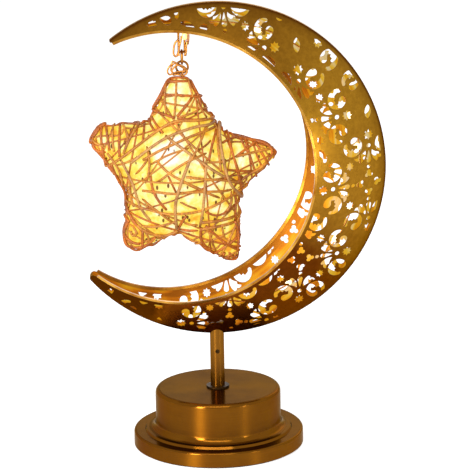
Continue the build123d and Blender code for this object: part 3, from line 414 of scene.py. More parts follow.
def lining_material():
    """The translucent sheet inside the star, lit from behind, shown as a painted glow, with dark specks painted as
    shade in the gaps between its strips.
    """
    t = Tree("star_lining_lit")
    cloud = t.noise(88.0, 4.0, 0.62, distortion=0.4)
    patch = t.noise(210.0, 3.0, 0.6)
    tone = t.math("ADD", t.math("MULTIPLY", cloud, 0.60), t.math("MULTIPLY", patch, 0.45))
    split = t.node("ShaderNodeSeparateXYZ")
    t.link(t.vector("SUBTRACT", t.place(), tuple(STAR_PLACE)), split.inputs[0])
    across = t.math("MULTIPLY", split.outputs[0], split.outputs[0])
    upward = t.math("MULTIPLY", split.outputs[2], split.outputs[2])
    out = t.math("SQRT", t.math("ADD", across, upward))
    # Painted light: the glow is brighter in the star's middle and dimmer out along its arms
    tone = t.math("ADD", tone, t.levels(out, 0.008, 0.052, 0.06, -0.09))
    for px, py, spread, amount in HOT_SPOTS:
        x, z = star_point_at(px, py, 0.001)
        spot = tuple(STAR_PLACE + Vector((x, -star_half(x, z, 0.001), z)))
        tone = t.math("ADD", tone, t.levels(t.vector("DISTANCE", t.place(), spot), spread, 0.0, 0.0, amount))
    color = t.ramp(tone, [
        (0.36, srgb(234, 158, 34)), (0.43, srgb(244, 200, 58)), (0.51, srgb(250, 226, 96)), (0.60, srgb(255, 243, 158)),
        (0.72, srgb(255, 255, 240)),
    ])
    # Painted shade: dark specks, in patches, for the gaps between the strips
    fleck = t.cells(270.0, vector=t.stretched((1.0, 0.0, 0.5), (0, 0.5, 0)))
    sparse = t.noise(170.0, 2.0, 0.5)
    spot = t.math("MULTIPLY", t.levels(fleck, 0.22, 0.16), t.levels(sparse, 0.30, 0.36))
    color = t.mix(spot, color, srgb(72, 52, 10))
    weave = t.noise(1.0, 2.0, 0.5, t.stretched((2600, 500, 2600)))
    normal = t.bump(weave, 0.15, 0.0003)
    body = t.node("ShaderNodeBsdfPrincipled")
    t.link(t.mix(0.85, color, srgb(96, 54, 8)), body.inputs["Base Color"])
    body.inputs["Roughness"].default_value = 0.8
    t.link(normal, body.inputs["Normal"])
    # Painted light: the sheet glows in its own colour, as emission
    t.link(color, body.inputs["Emission Color"])
    body.inputs["Emission Strength"].default_value = 0.90
    return t.finish(body.outputs["BSDF"])


def rattan(name, light, dark, glow):
    """A rattan strand: long grain, darker flecks, painted shade at its edges, and a painted glow for some of the star's
    light through it.
    """
    t = Tree(name)
    cloud = t.noise(120.0, 4.0, 0.6)
    grain = t.noise(900.0, 3.0, 0.65)
    tone = t.math("ADD", t.math("MULTIPLY", cloud, 0.6), t.math("MULTIPLY", grain, 0.4))
    color = t.ramp(tone, [(0.34, dark), (0.62, light)])
    fleck = t.levels(t.cells(330.0), 0.16, 0.08)
    color = t.mix(t.math("MULTIPLY", fleck, 0.55), color, srgb(70, 34, 8))
    # Painted shade: the strand darkens where it turns away from view
    weight = t.node("ShaderNodeLayerWeight")
    weight.inputs["Blend"].default_value = 0.35
    rim = t.mix(t.levels(weight.outputs["Facing"], 0.35, 0.95), color, dark)
    normal = t.bump(grain, 0.30, 0.0003)
    body = t.node("ShaderNodeBsdfPrincipled")
    t.link(rim, body.inputs["Base Color"])
    t.link(t.levels(cloud, 0.3, 0.7, 0.42, 0.62), body.inputs["Roughness"])
    t.link(normal, body.inputs["Normal"])
    # Painted light: the strand glows faintly in its edge-shaded colour
    t.link(rim, body.inputs["Emission Color"])
    body.inputs["Emission Strength"].default_value = glow
    return t.finish(body.outputs["BSDF"])


def board_material():
    t = Tree("board_green")
    grid = t.cells(600.0, "DISTANCE_TO_EDGE", 0.35)
    color = t.mix(t.levels(grid, 0.04, 0.09), srgb(120, 140, 60), srgb(16, 74, 34))
    return t.finish(t.surface(Base_Color=color, Roughness=0.35))


def cell_material():
    t = Tree("cell_sleeve")
    band = t.levels(t.axis(1), 0.008, 0.0085)
    cloud = t.noise(120.0, 3.0, 0.5)
    color = t.mix(band, t.ramp(cloud, [(0.3, srgb(34, 36, 38)), (0.7, srgb(46, 48, 50))]), srgb(188, 132, 58))
    return t.finish(t.surface(Base_Color=color, Metallic=0.6, Roughness=0.34))


# The third colour given to each brass is the painted reflection on its level faces
BASE_BRASS = spun_brass(
    "base_brass", srgb(118, 74, 11), srgb(104, 60, 7), srgb(82, 53, 22), 0.37, 0.05, (60, 60, 4200),
)
STEM_BRASS = spun_brass(
    "stem_brass", srgb(134, 88, 24), srgb(108, 66, 14), srgb(120, 76, 30), 0.22, 0.03, (2600, 2600, 60),
)
BEAD_GOLD = polished_metal("bead_gold", srgb(214, 160, 66), srgb(150, 92, 22), 0.16)
# Painted shade: the back bead's gold is a darker copy of the front bead's
SHADED_BEAD_GOLD = polished_metal("shaded_bead_gold", srgb(172, 116, 36), srgb(116, 68, 14), 0.32)
WIRE_GOLD = polished_metal("wire_gold", srgb(190, 128, 50), srgb(112, 64, 16), 0.20, 300.0)
COPPER = polished_metal("lead_copper", srgb(222, 160, 84), srgb(160, 96, 40), 0.28, 500.0)
STEEL = polished_metal("zinc_steel", srgb(178, 178, 174), srgb(118, 118, 116), 0.30, 200.0)
DARK_COLLAR = polished_metal("dark_collar", srgb(78, 54, 26), srgb(44, 28, 12), 0.46, 260.0)
BLACK_PLASTIC = moulded("black_plastic", srgb(34, 33, 32))
RUBBER = moulded("rubber", srgb(28, 27, 26), 0.75, 1500.0)
PALE_PLASTIC = moulded("pale_plastic", srgb(196, 192, 180), 0.4)
NODE_MATERIALS = {
    "base_cover": BASE_BRASS,
    "stem_tube": STEM_BRASS,
    "stem_collar": DARK_COLLAR,
    "set_screw": DARK_COLLAR,
    "front_shell": shell_material("front_shell_gold", -1),
    "back_shell": shell_material("back_shell_gold", 1),
    "front_rim_bead": BEAD_GOLD,
    "back_rim_bead": SHADED_BEAD_GOLD,
    "hanger_bar": WIRE_GOLD,
    "hanger_loop": WIRE_GOLD,
    "hanger_link": WIRE_GOLD,
    "star_eye": WIRE_GOLD,
    "hanger_strands": COPPER,
    "light_string": COPPER,
    "star_string": COPPER,
    "crescent_drops": glowing("crescent_light", srgb(255, 244, 200), 2.2, srgb(255, 190, 90)),
    "hanger_drop": glowing("hanger_light", srgb(255, 232, 150), 1.0, srgb(236, 150, 48)),
    "star_drops": glowing("star_light", srgb(255, 246, 210), 2.0, srgb(255, 200, 100)),
    "star_frame": STEEL,
    "star_lining": lining_material(),
    "bottom_plate": BLACK_PLASTIC,
    "battery_tray": BLACK_PLASTIC,
    "battery_door": moulded("door_plastic", srgb(44, 43, 42)),
    "switch_body": BLACK_PLASTIC,
    "switch_slider": PALE_PLASTIC,
    "foot_ring": RUBBER,
    "wire_grommet": RUBBER,
    "cover_posts": STEEL,
    "base_screws": STEEL,
    "contact_springs": STEEL,
    "contact_plates": STEEL,
    "spreader_washer": STEEL,
    "lock_washer": STEEL,
    "stem_nut": STEEL,
    "crescent_stub": STEEL,
    "stub_washer": STEEL,
    "stub_nut": STEEL,
    "driver_board": board_material(),
    "board_chip": moulded("chip_plastic", srgb(24, 24, 25)),
    "battery_cell_1": cell_material(),
    "battery_cell_2": cell_material(),
    "star_cage": rattan("cage_rattan", srgb(206, 128, 56), srgb(132, 66, 18), 0.1),
}
for name, material in NODE_MATERIALS.items():
    mesh = nodes[name].data
    if not mesh.materials:
        mesh.materials.append(material)
    for index in range(len(mesh.materials)):
        nodes[name].material_slots[index].material = material


# Rattan strands: the runs that show in front, as pixels of the photograph, then wound on behind the star

PALE, TAN, BROWN = 0, 1, 2
FRONT_RUNS = [
    # top arm
    (BROWN, 0.70, [(165, 82), (172, 80.6), (181, 81), (192, 80)]),
    (BROWN, 0.65, [(164, 95), (176, 94), (192, 96.4)]),
    (BROWN, 0.62, [(162.6, 79), (161.8, 88), (161.5, 97), (154, 103), (152, 108)]),
    (TAN, 0.62, [(163, 82), (163.7, 97.5), (166.5, 113.5)]),
    (TAN, 0.62, [(176.5, 80), (175.8, 97.5), (174.4, 117)]),
    (TAN, 0.55, [(188, 79), (191, 90), (193, 97)]),
    (BROWN, 0.62, [(193, 78), (196, 92), (202, 101), (201, 108)]),
    (BROWN, 0.75, [(152, 109.5), (162.4, 113.5), (175, 118)]),
    (BROWN, 0.75, [(192.5, 97.7), (185, 107), (177, 116.7)]),
    (TAN, 0.62, [(201, 109), (187.6, 115.3), (177.8, 117.4)]),
    (BROWN, 0.70, [(177, 118), (190, 119.8), (206.6, 119.5)]),
    (TAN, 0.55, [(196, 100), (199, 106), (203, 112), (207, 118)]),
    # left valley and left arm
    (BROWN, 0.65, [(151.7, 117.6), (155, 123), (159, 128.3), (163, 133)]),
    (TAN, 0.75, [(206, 119.6), (190, 121), (173.8, 119.8), (162.4, 127.6), (142.3, 141.7), (121.5, 157.8)]),
    (PALE, 0.80, [(214, 123.7), (199.6, 125), (180, 131.7), (167, 137), (157, 143), (142.3, 153.8), (131, 163)]),
    (TAN, 0.75, [(214.3, 128.2), (208.7, 128.6), (192, 135.5), (176, 143.3), (160, 150), (143, 160)]),
    (BROWN, 0.75, [(120.2, 126), (118.8, 139), (119.5, 157)]),
    (TAN, 0.65, [(122.9, 124.3), (126, 131), (129.6, 137.7), (126.2, 145), (123.5, 154)]),
    (TAN, 0.70, [(139, 125), (131.6, 133.7), (126.9, 144.4), (124, 152)]),
    (BROWN, 0.65, [(144.6, 123), (143.6, 132), (143, 141)]),
    (BROWN, 0.70, [(147, 119), (150, 124), (154, 130)]),
    (BROWN, 0.70, [(102, 125), (100, 135), (102.8, 151)]),
    (BROWN, 0.70, [(106, 126), (107.5, 137.7), (109.5, 150.5)]),
    (TAN, 0.60, [(113, 127), (112, 138), (114, 152)]),
    (BROWN, 0.85, [(103.5, 125), (96, 127), (89, 131), (87.6, 136), (91.4, 140.6), (96, 134), (99, 128)]),
    (BROWN, 0.85, [(94, 143), (90.3, 146), (92, 150.5), (98, 153), (106.8, 152.6)]),
    (TAN, 0.65, [(93, 141), (98, 145), (104, 146)]),
    (BROWN, 0.65, [(99, 154), (106, 161), (112, 169), (117, 177)]),
    (TAN, 0.65, [(107, 153), (115, 163), (120.5, 172), (123, 186)]),
    # hub, upper left to lower right
    (TAN, 0.62, [(151, 152), (146, 163), (135.8, 175.3)]),
    (PALE, 0.72, [(120.5, 160), (126, 170), (131, 179), (136, 194), (138.7, 206), (145, 215), (152, 223)]),
    (TAN, 0.70, [(155, 160), (162, 167), (169.3, 174.4), (180.8, 180), (192, 185.4), (202.8, 190.6), (221, 199)]),
    (PALE, 0.85, [(191.8, 155), (186, 170), (179, 188.7), (175, 203), (175, 213.6), (177, 231)]),
    (PALE, 0.75, [(206.7, 160), (205.3, 176), (204.7, 190.6), (202.8, 211.7), (200, 228)]),
    (PALE, 0.80, [(166, 137), (177, 144.7), (191.8, 155.3), (206.6, 165.8), (219.9, 174.2), (228, 179)]),
    (TAN, 0.70, [(156, 184), (167.4, 174.4), (180, 166), (191.3, 159), (207, 154)]),
    (TAN, 0.60, [(150, 166), (161, 158), (175, 152), (190, 149)]),
    (TAN, 0.70, [(142.5, 190.6), (161.7, 192.5), (175, 194), (200, 191.4), (231.5, 190.4)]),
    (TAN, 0.72, [(125.3, 199), (141.6, 207.8), (161.7, 213.6), (177, 214.5), (201, 211.7), (218, 204), (232, 196)]),
    (BROWN, 0.72, [(150, 172), (152, 190.6), (159, 202), (166.5, 210.7)]),
    (TAN, 0.66, [(143, 200), (156, 209.8), (166, 218), (176, 225.4)]),
    (BROWN, 0.60, [(168, 176), (172, 184), (176, 193)]),
    (TAN, 0.58, [(179, 202), (188, 206), (198, 210)]),
    (TAN, 0.62, [(147, 147), (150, 160), (149, 174), (146, 184)]),
    # right arm
    (TAN, 0.60, [(205.2, 131), (200, 143), (195.4, 153.2), (190, 162)]),
    (BROWN, 0.58, [(211, 141), (204.8, 146.2), (198.9, 150.4)]),
    (BROWN, 0.70, [(216.4, 131), (212.5, 142), (210.8, 150.4), (208.7, 161)]),
    (PALE, 0.85, [(219.6, 130), (220, 143.3), (223.4, 160), (227, 177.7), (231, 185), (236, 191)]),
    (TAN, 0.65, [(217.4, 131), (217.8, 149.6), (220.6, 163), (221, 172)]),
    (BROWN, 0.68, [(229, 138), (232.5, 153.2), (236, 164.4), (239.2, 178)]),
    (BROWN, 0.62, [(239, 134), (242, 141), (245, 148), (249, 154)]),
    (BROWN, 0.68, [(254.8, 141), (259, 148), (262, 153.2), (267.4, 162.4)]),
    (BROWN, 0.68, [(247, 146), (249, 153.2), (252, 162), (254.8, 170.6)]),
    (BROWN, 0.72, [(222.7, 142.6), (229.7, 137.7), (238.2, 134.2), (245.2, 135), (253, 140.5)]),
    (BROWN, 0.74, [(237, 156), (245.2, 149), (256, 142.4)]),
    (TAN, 0.74, [(236, 156.6), (249.4, 153.2), (259.2, 151), (273, 148)]),
    (BROWN, 0.74, [(252.2, 140.5), (262.7, 141.6), (271, 145.6), (274.6, 151), (272, 157.6), (266.6, 162.6)]),
    (TAN, 0.80, [(267, 162.6), (262, 167), (255.7, 170.7), (247, 175), (240.6, 181)]),
    (BROWN, 0.70, [(225, 169.6), (240, 171), (254.8, 171.4)]),
    (BROWN, 0.74, [(229.7, 180.5), (236, 182.6), (242, 183.6)]),
    (TAN, 0.74, [(186.2, 177), (204.5, 179.1), (225.5, 179.8), (241, 182.6)]),
    (TAN, 0.60, [(206, 164), (216, 161), (230, 161), (236, 157)]),
    (BROWN, 0.60, [(183, 182), (192, 186.6), (201, 191)]),
    (TAN, 0.66, [(179.2, 193.9), (189, 192.6), (200.3, 190.6)]),
    (BROWN, 0.66, [(235, 187), (238, 180), (243, 177)]),
    # lower right arm
    (BROWN, 0.72, [(233.4, 190), (237, 199), (234.6, 212), (236, 222)]),
    (TAN, 0.70, [(231, 192), (233, 202), (229, 210), (221, 216.6)]),
    (BROWN, 0.64, [(205.7, 211.7), (212, 215), (218, 217.4), (228, 211), (235.8, 204)]),
    (TAN, 0.85, [(201.4, 222.6), (218, 221), (235.6, 216.4)]),
    (TAN, 0.85, [(201.4, 229.2), (218, 226.4), (235.6, 222)]),
    (BROWN, 0.76, [(206, 226), (215, 234.6), (224.8, 243), (238.2, 250.2)]),
    (BROWN, 0.85, [(201.5, 228), (199.6, 237), (203, 245), (213.3, 254.2)]),
    (BROWN, 0.76, [(235, 221), (238.4, 229), (239, 240), (238, 250)]),
    (BROWN, 0.76, [(212, 254.2), (218, 251), (225, 247)]),
    (TAN, 0.64, [(234, 229.4), (231, 236), (227.4, 243.4)]),
    (TAN, 0.60, [(222, 226.6), (223, 233), (225.4, 240.4)]),
    (TAN, 0.60, [(209, 232), (212, 242), (216, 252)]),
    (BROWN, 0.80, [(224.6, 253), (220.6, 257), (223, 260), (230, 257)]),
    (BROWN, 0.80, [(228, 250), (231, 257), (234, 261), (237, 258), (236, 252)]),
    # lower left arm
    (BROWN, 0.76, [(124, 199), (127, 211), (133, 221), (142.5, 231.4)]),
    (TAN, 0.80, [(132, 221), (142, 230), (154, 235.6), (168.4, 236.4), (177.4, 230.6)]),
    (TAN, 0.64, [(140, 226), (153, 227.4), (165, 225), (176.6, 221.4)]),
    (TAN, 0.64, [(185, 224), (192, 225.4), (199, 225.4)]),
    (BROWN, 0.72, [(177.6, 229), (189, 231.4), (201, 230.4)]),
    (BROWN, 0.78, [(123.4, 214), (126, 218), (129.4, 222)]),
    (BROWN, 0.84, [(129.4, 222), (124.4, 226), (123.4, 234), (124.4, 243.6), (129, 249.6), (134, 247)]),
    (BROWN, 0.76, [(142.8, 230.6), (142.4, 240), (142.5, 249.4)]),
    (BROWN, 0.76, [(124, 233.6), (128, 240), (133, 244), (140, 244)]),
    (TAN, 0.64, [(131, 225), (137, 229), (138, 236), (133, 239), (129, 235), (131, 231)]),
    (BROWN, 0.74, [(133, 248), (140.6, 248.4), (148.3, 245), (155.6, 237)]),
    (TAN, 0.62, [(146, 233), (150, 240), (149, 245)]),
    (BROWN, 0.80, [(177.2, 232), (180, 224), (186, 216)]),
    (BROWN, 0.72, [(111, 163.6), (115.7, 176), (120.5, 184), (122.4, 190), (124.4, 200)]),
    (TAN, 0.64, [(128, 176), (130.6, 186), (130, 198), (134, 208)]),
    (TAN, 0.60, [(117, 166), (126, 163), (140, 156)]),
]
STRAND_STEP = 0.0022
STRAND_SIDES = 8
STRAND_SWELL = 1.08
LEVELS = {PALE: (-0.0004, 0.0000), TAN: (-0.0003, 0.0006), BROWN: (-0.0002, 0.0008)}
RUN_ON = 0.012
TUCK = 0.0014


def rounded(points, times=2):
    """Corner cutting on an open run."""
    for _ in range(times):
        cut = [points[0]]
        for a, b in zip(points, points[1:]):
            cut.append(tuple(0.75 * p + 0.25 * q for p, q in zip(a, b)))
            cut.append(tuple(0.25 * p + 0.75 * q for p, q in zip(a, b)))
        points = cut + [points[-1]]
    return points


def to_outline(last, before, shrink, reach):
    """The point where a run, carried straight on, meets the star's outline, or None if that is beyond the reach."""
    run = math.dist(last, before) or 1.0
    ux, uz = (last[0] - before[0]) / run, (last[1] - before[1]) / run
    away = 0.0
    while away < reach:
        x, z = last[0] + ux * away, last[1] + uz * away
        if star_half(x, z, shrink) == 0.0:
            return x, z
        away += 0.0004
    return None


def along_run(run, share):
    """The point at a share of a run's length."""
    lengths = [math.dist(a, b) for a, b in zip(run, run[1:])]
    rest = share * sum(lengths)
    for (a, b), length in zip(zip(run, run[1:]), lengths):
        if rest <= length and length > 0:
            return a[0] + (b[0] - a[0]) * rest / length, a[1] + (b[1] - a[1]) * rest / length
        rest -= length
    return run[-1]


def run_length(run):
    return sum(math.dist(a, b) for a, b in zip(run, run[1:]))


def loop_round(run, shrink, drift):
    """A closed path: along a run in front of the star from outline to outline, and back behind it."""
    length = run_length(run)
    count = max(16, 2 * int(length * 1.25 / STRAND_STEP))
    path = []
    for index in range(count):
        turn = 2 * math.pi * index / count
        x, z = along_run(run, (1 - math.cos(turn)) / 2)
        side = math.sin(turn)
        if side < 0:
            x, z = x - drift[0] * side, z - drift[1] * side
        half = star_half(x, z, shrink)
        path.append(Vector((x, -math.copysign(half, side), z)))
    return path


def drawn_in(point, shrink):
    """The place itself, or the nearest one inside the outline towards the middle of its arm."""
    x, z = point
    angle, length, tip_r = max(ARMS, key=lambda arm: x * math.cos(arm[0]) + z * math.sin(arm[0]))
    along = min(x * math.cos(angle) + z * math.sin(angle), length - tip_r)
    middle = along * math.cos(angle), along * math.sin(angle)
    for step in range(40):
        share = step / 40
        there = x + (middle[0] - x) * share, z + (middle[1] - z) * share
        if star_half(*there, shrink) > 0:
            return there
    return middle


def strand_path(flat, shrink, rng):
    """The path of one strand from its run in front of the star, and whether it is closed."""
    run = rounded([drawn_in(point, shrink) for point in flat])
    head = to_outline(run[0], run[2], shrink, RUN_ON)
    tail = to_outline(run[-1], run[-3], shrink, RUN_ON)
    drift = rng.uniform(-0.003, 0.003), rng.uniform(-0.003, 0.003)
    if head and tail:
        return loop_round([head] + run + [tail], shrink, drift), True
    count = max(6, int(run_length(run) / STRAND_STEP))
    points = [along_run(run, index / count) for index in range(count + 1)]
    path = [Vector((x, -star_half(x, z, shrink), z)) for x, z in points]
    if head or tail:
        edge = head or tail
        path = path if tail else path[::-1]
        behind = [Vector((x, star_half(x, z, shrink), z)) for x, z in (points if head else points[::-1])]
        return path + [Vector((edge[0], 0, edge[1]))] + behind[: len(behind) // 2], False
    for depth, ends in ((2.0, (0, -1)), (0.7, (1, -2))):
        for end in ends:
            path[end].y += TUCK * depth
    return path, False


def relaxed(path, closed, times=3):
    """Evens out small kinks where a strand turns round the star's edge."""
    for _ in range(times):
        count = len(path)
        out = []
        for index in range(count):
            if not closed and index in (0, count - 1):
                out.append(path[index])
                continue
            out.append((path[index - 1] + path[index] * 2 + path[(index + 1) % count]) / 4)
        path = out
    return path


def tube(verts, faces, path, radius, closed):
    """Adds a round strand along a path to lists of points and faces."""
    count = len(path)
    first = len(verts)
    side = None
    for index, point in enumerate(path):
        ahead = path[(index + 1) % count] if closed or index < count - 1 else point
        behind = path[index - 1] if closed or index > 0 else point
        along = (ahead - behind).normalized()
        if side is None:
            side = along.orthogonal().normalized()
        side = (side - along * side.dot(along)).normalized()
        up = along.cross(side)
        for corner in range(STRAND_SIDES):
            angle = 2 * math.pi * corner / STRAND_SIDES
            verts.append(point + (side * math.cos(angle) + up * math.sin(angle)) * radius)
    last_side = verts[first + (count - 1) * STRAND_SIDES] - path[-1]
    slip = min(range(STRAND_SIDES), key=lambda k: ((verts[first + k] - path[0]) - last_side).length) if closed else 0
    for index in range(count if closed else count - 1):
        low = first + index * STRAND_SIDES
        wraps = index == count - 1
        high = first if wraps else low + STRAND_SIDES
        turn = slip if wraps else 0
        for corner in range(STRAND_SIDES):
            after = (corner + 1) % STRAND_SIDES
            faces.append((
                low + corner, low + after, high + (after + turn) % STRAND_SIDES, high + (corner + turn) % STRAND_SIDES,
            ))
    if not closed:
        faces.append(tuple(first + corner for corner in reversed(range(STRAND_SIDES))))
        faces.append(tuple(first + (count - 1) * STRAND_SIDES + corner for corner in range(STRAND_SIDES)))


def smooth_object(name, verts, faces, material, body):
    """A smooth-shaded mesh piece that rides on a body."""
    mesh = bpy.data.meshes.new(name)
    mesh.from_pydata(verts, [], faces)
    mesh.polygons.foreach_set("use_smooth", [True] * len(mesh.polygons))
    mesh.materials.append(material)
    mesh.update()
    made = bpy.data.objects.new(name, mesh)
    bpy.context.scene.collection.objects.link(made)
    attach(made, body)
    return made


def chord(x, z, angle, shrink):
    """The straight run through a place at an angle, from outline to outline."""
    ends = []
    for way in (-1, 1):
        ahead = (x + way * math.cos(angle) * 0.001, z + way * math.sin(angle) * 0.001)
        ends.append(to_outline(ahead, (x, z), shrink, 0.14))
    return ends


def arm_wraps(rng):
    """Turns round each arm, close together and tilted one way and the other, as the strips are wound."""
    runs = []
    for angle, length, tip_r in ARMS:
        for turn in range(WRAPS_AN_ARM):
            share = WRAP_FIRST_SHARE + (WRAP_LAST_SHARE - WRAP_FIRST_SHARE) * turn / (WRAPS_AN_ARM - 1)
            place = length * (share + rng.uniform(-0.02, 0.02))
            tilt = rng.choice((-1, 1)) * rng.uniform(0.08, 0.5) * (1.15 - share)
            runs.append((place * math.cos(angle), place * math.sin(angle), angle + math.pi / 2 + tilt))
    return runs


def hub_wraps(rng):
    """Long turns across the hub at every angle."""
    runs = []
    for turn in range(HUB_WRAPS):
        angle = math.pi * turn / HUB_WRAPS + rng.uniform(-0.12, 0.12)
        aside = rng.uniform(-0.024, 0.024)
        runs.append((-aside * math.sin(angle), aside * math.cos(angle), angle))
    return runs


def edge_run(level, shrink, rng):
    """A strand that follows the star's outline, at a level in front of its middle or behind it."""
    path = []
    phase = rng.uniform(0, 2 * math.pi)
    for index in range(EDGE_STEPS):
        angle = 2 * math.pi * index / EDGE_STEPS
        y = level + 0.0016 * math.sin(7 * angle + phase) + 0.0008 * math.sin(19 * angle)
        reach = 0.066
        while reach > 0.02 and star_half(reach * math.cos(angle), reach * math.sin(angle), shrink) <= abs(y):
            reach -= 0.0003
        reach += 0.0008 * math.sin(29 * angle + phase) + 0.0005 * math.sin(47 * angle)
        path.append(Vector((reach * math.cos(angle), y, reach * math.sin(angle))))
    return path


WRAPS_AN_ARM = 4
WRAP_FIRST_SHARE = 0.56
WRAP_LAST_SHARE = 0.94
HUB_WRAPS = 9
EDGE_STEPS = 340
EDGE_RUNS = [(-0.0045, TAN), (-0.0004, BROWN), (0.0045, TAN)]


def wind_strands():
    rng = random.Random(7)
    meshes = {PALE: ([], []), TAN: ([], []), BROWN: ([], [])}

    def wind(family, path, closed, radius, times=3):
        placed = [STAR_PLACE + point for point in relaxed(path, closed, times)]
        tube(*meshes[family], placed, radius * STRAND_SWELL, closed)

    for family, radius_mm, pixels in FRONT_RUNS:
        shrink = rng.uniform(*LEVELS[family])
        flat = [star_point_at(px, py, shrink) for px, py in pixels]
        path, closed = strand_path(flat, shrink, rng)
        wind(family, path, closed, radius_mm * MM)
        if not closed:
            wind(family, [Vector((point.x, -point.y, point.z)) for point in path], closed, radius_mm * MM)
    for x, z, angle in arm_wraps(rng) + hub_wraps(rng):
        shrink = rng.uniform(0.0006, 0.0016)
        ends = chord(x, z, angle, shrink)
        if None in ends:
            continue
        bow = rng.uniform(-0.0012, 0.0012)
        middle = ((ends[0][0] + ends[1][0]) / 2 - bow * math.sin(angle), (ends[0][1] + ends[1][1]) / 2 + bow * math.cos(angle))
        drift = rng.uniform(-0.003, 0.003), rng.uniform(-0.003, 0.003)
        path = loop_round([ends[0], middle, ends[1]], shrink, drift)
        wind(rng.choice((TAN, TAN, BROWN)), path, True, rng.uniform(0.42, 0.60) * MM)
    for level, family in EDGE_RUNS:
        shrink = rng.uniform(0.0010, 0.0018)
        wind(family, edge_run(level, shrink, rng), True, rng.uniform(0.48, 0.62) * MM, 1)
    made = []
    looks = {
        PALE: ("strands_pale", rattan("rattan_pale", srgb(198, 144, 78), srgb(124, 72, 30), 0.16)),
        TAN: ("strands_tan", rattan("rattan_tan", srgb(202, 132, 42), srgb(116, 56, 10), 0.24)),
        BROWN: ("strands_brown", rattan("rattan_brown", srgb(194, 104, 20), srgb(102, 44, 5), 0.20)),
    }
    for family, (name, material) in looks.items():
        verts, faces = meshes[family]
        made.append(smooth_object(name, verts, faces, material, "star"))
    return made


strands = wind_strands()
for piece in strands:
    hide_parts("star_cage")


# The bare strands of the lead beside the hanger's loop, and the curls that they end in

def plane_point_at(px, py, y):
    """The place that a pixel shows at a depth."""
    ray = pixel_ray(px, py)
    return cam_place + ray * ((y - cam_place.y) / ray.y)


HANGER_CURLS = [
    (0.60, -1.5, False, [(187, 41.4), (186.6, 44), (186, 47), (186.4, 51), (185.4, 56)]),
    (0.50, 1.4, False, [(184.8, 34), (184.4, 41), (185.4, 47), (185, 52), (184.8, 56)]),
    (0.58, -1.7, True, [(178, 40), (174.6, 43), (173.4, 50), (173.6, 55.4), (176.6, 57), (178.4, 52), (179, 45)]),
    (0.55, -3.0, False, [(181.4, 36), (180.6, 42), (179.4, 46), (178.6, 52), (179, 56)]),
]
STAR_CURLS = [
    (0.52, -2.1, True, [
        (172.4, 61.4), (176, 62.6), (180, 66.2), (185, 68.6), (186, 71), (180, 71.4), (174, 72.6), (169.6, 75.4), (167, 72),
        (168.4, 67.4), (171.2, 65),
    ]),
    (0.52, -3.4, True, [(172, 70), (175.4, 65.6), (181, 65), (186.4, 68.4), (187.6, 73), (183, 76), (177, 74), (172.6, 75.6)]),
    (0.48, 2.3, True, [(171, 68), (173, 63.6), (178, 63), (184, 68), (183, 72.6), (176, 74), (171, 71.6)]),
]


def curled(name, curls, body):
    verts, faces = [], []
    for radius_mm, depth_mm, closed, pixels in curls:
        points = [plane_point_at(px, py, depth_mm * MM) for px, py in pixels]
        if closed:
            points = points + points[:1]
        path = rounded([tuple(point) for point in points], 3)
        path = [Vector(point) for point in (path[:-1] if closed else path)]
        tube(verts, faces, path, radius_mm * MM, closed)
    return smooth_object(name, verts, faces, STRAND_GOLD, body)


STRAND_GOLD = polished_metal("strand_gold", srgb(222, 156, 78), srgb(140, 80, 26), 0.24, 500.0)
lead = curled("lead_curls", HANGER_CURLS, "hanger")
curls = curled("eye_curls", STAR_CURLS, "star")


# Floor, world and lamps

floor_mesh = bpy.data.meshes.new("floor")
REACH = 6.0
floor_mesh.from_pydata([(-REACH, -REACH, 0), (REACH, -REACH, 0), (REACH, REACH, 0), (-REACH, REACH, 0)], [], [(0, 1, 2, 3)])
floor = bpy.data.objects.new("floor", floor_mesh)
bpy.context.scene.collection.objects.link(floor)
t = Tree("floor_white")
path = t.node("ShaderNodeLightPath")
seen = t.math("ADD", path.outputs["Is Camera Ray"], path.outputs["Is Glossy Ray"], True)
seen = t.math("ADD", seen, path.outputs["Is Transmission Ray"], True)
soft = t.noise(3.0, 2.0, 0.5)
matte = t.node("ShaderNodeBsdfDiffuse")
t.link(t.ramp(soft, [(0.3, (0.86, 0.86, 0.86)), (0.7, (0.90, 0.90, 0.90))]), matte.inputs["Color"])
bright = t.node("ShaderNodeEmission")
bright.inputs["Color"].default_value = (1, 1, 1, 1)
t.link(t.math("MULTIPLY", seen, 0.78), bright.inputs["Strength"])
whole = t.node("ShaderNodeAddShader")
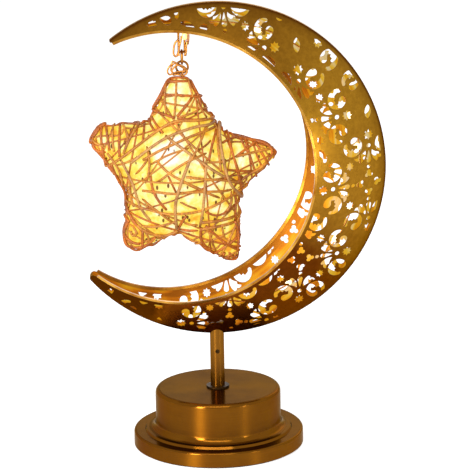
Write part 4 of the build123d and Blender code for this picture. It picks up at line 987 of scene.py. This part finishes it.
t.link(matte.outputs[0], whole.inputs[0])
t.link(bright.outputs[0], whole.inputs[1])
floor_mesh.materials.append(t.finish(whole.outputs[0]))

world = bpy.data.worlds.new("studio")
bpy.context.scene.world = world
world.use_nodes = True
tree = world.node_tree
tree.nodes.clear()
sky_out = tree.nodes.new("ShaderNodeOutputWorld")
sky = tree.nodes.new("ShaderNodeBackground")
path = tree.nodes.new("ShaderNodeLightPath")
sky.inputs["Color"].default_value = (1, 1, 1, 1)


def world_math(operation, a, b):
    made = tree.nodes.new("ShaderNodeMath")
    made.operation = operation
    for socket, value in zip(made.inputs, (a, b)):
        if isinstance(value, bpy.types.NodeSocket):
            tree.links.new(value, socket)
        else:
            socket.default_value = value
    return made.outputs[0]


seen = world_math("MAXIMUM", path.outputs["Is Camera Ray"], path.outputs["Is Glossy Ray"])
seen = world_math("MAXIMUM", seen, path.outputs["Is Transmission Ray"])
WORLD_LEVEL = 0.25
tree.links.new(world_math("ADD", world_math("MULTIPLY", seen, 1.0 - WORLD_LEVEL), WORLD_LEVEL), sky.inputs["Strength"])
tree.links.new(sky.outputs[0], sky_out.inputs["Surface"])


def lamp(name, place, aim, size, power, color=(1, 1, 1)):
    data = bpy.data.lights.new(name, "AREA")
    data.shape = "RECTANGLE"
    data.size, data.size_y = size
    data.energy = power
    data.color = color
    made = bpy.data.objects.new(name, data)
    bpy.context.scene.collection.objects.link(made)
    made.location = place
    made.rotation_mode = "QUATERNION"
    made.rotation_quaternion = (Vector(aim) - Vector(place)).to_track_quat("-Z", "Y")
    return made


AIM = (0, 0, 0.13)
lamp("key", (-0.73, -1.01, 0.42), AIM, (0.26, 0.84), 14.0)
lamp("fill", (0.86, -0.86, 0.15), (0, 0, 0.06), (0.14, 0.26), 1.6)
lamp("front", (-0.10, -0.85, 0.95), AIM, (0.9, 0.22), 4.6)
lamp("behind", (0.35, 1.0, 0.6), AIM, (0.9, 0.6), 1.8)

scene = bpy.context.scene
scene.view_settings.view_transform = "Standard"
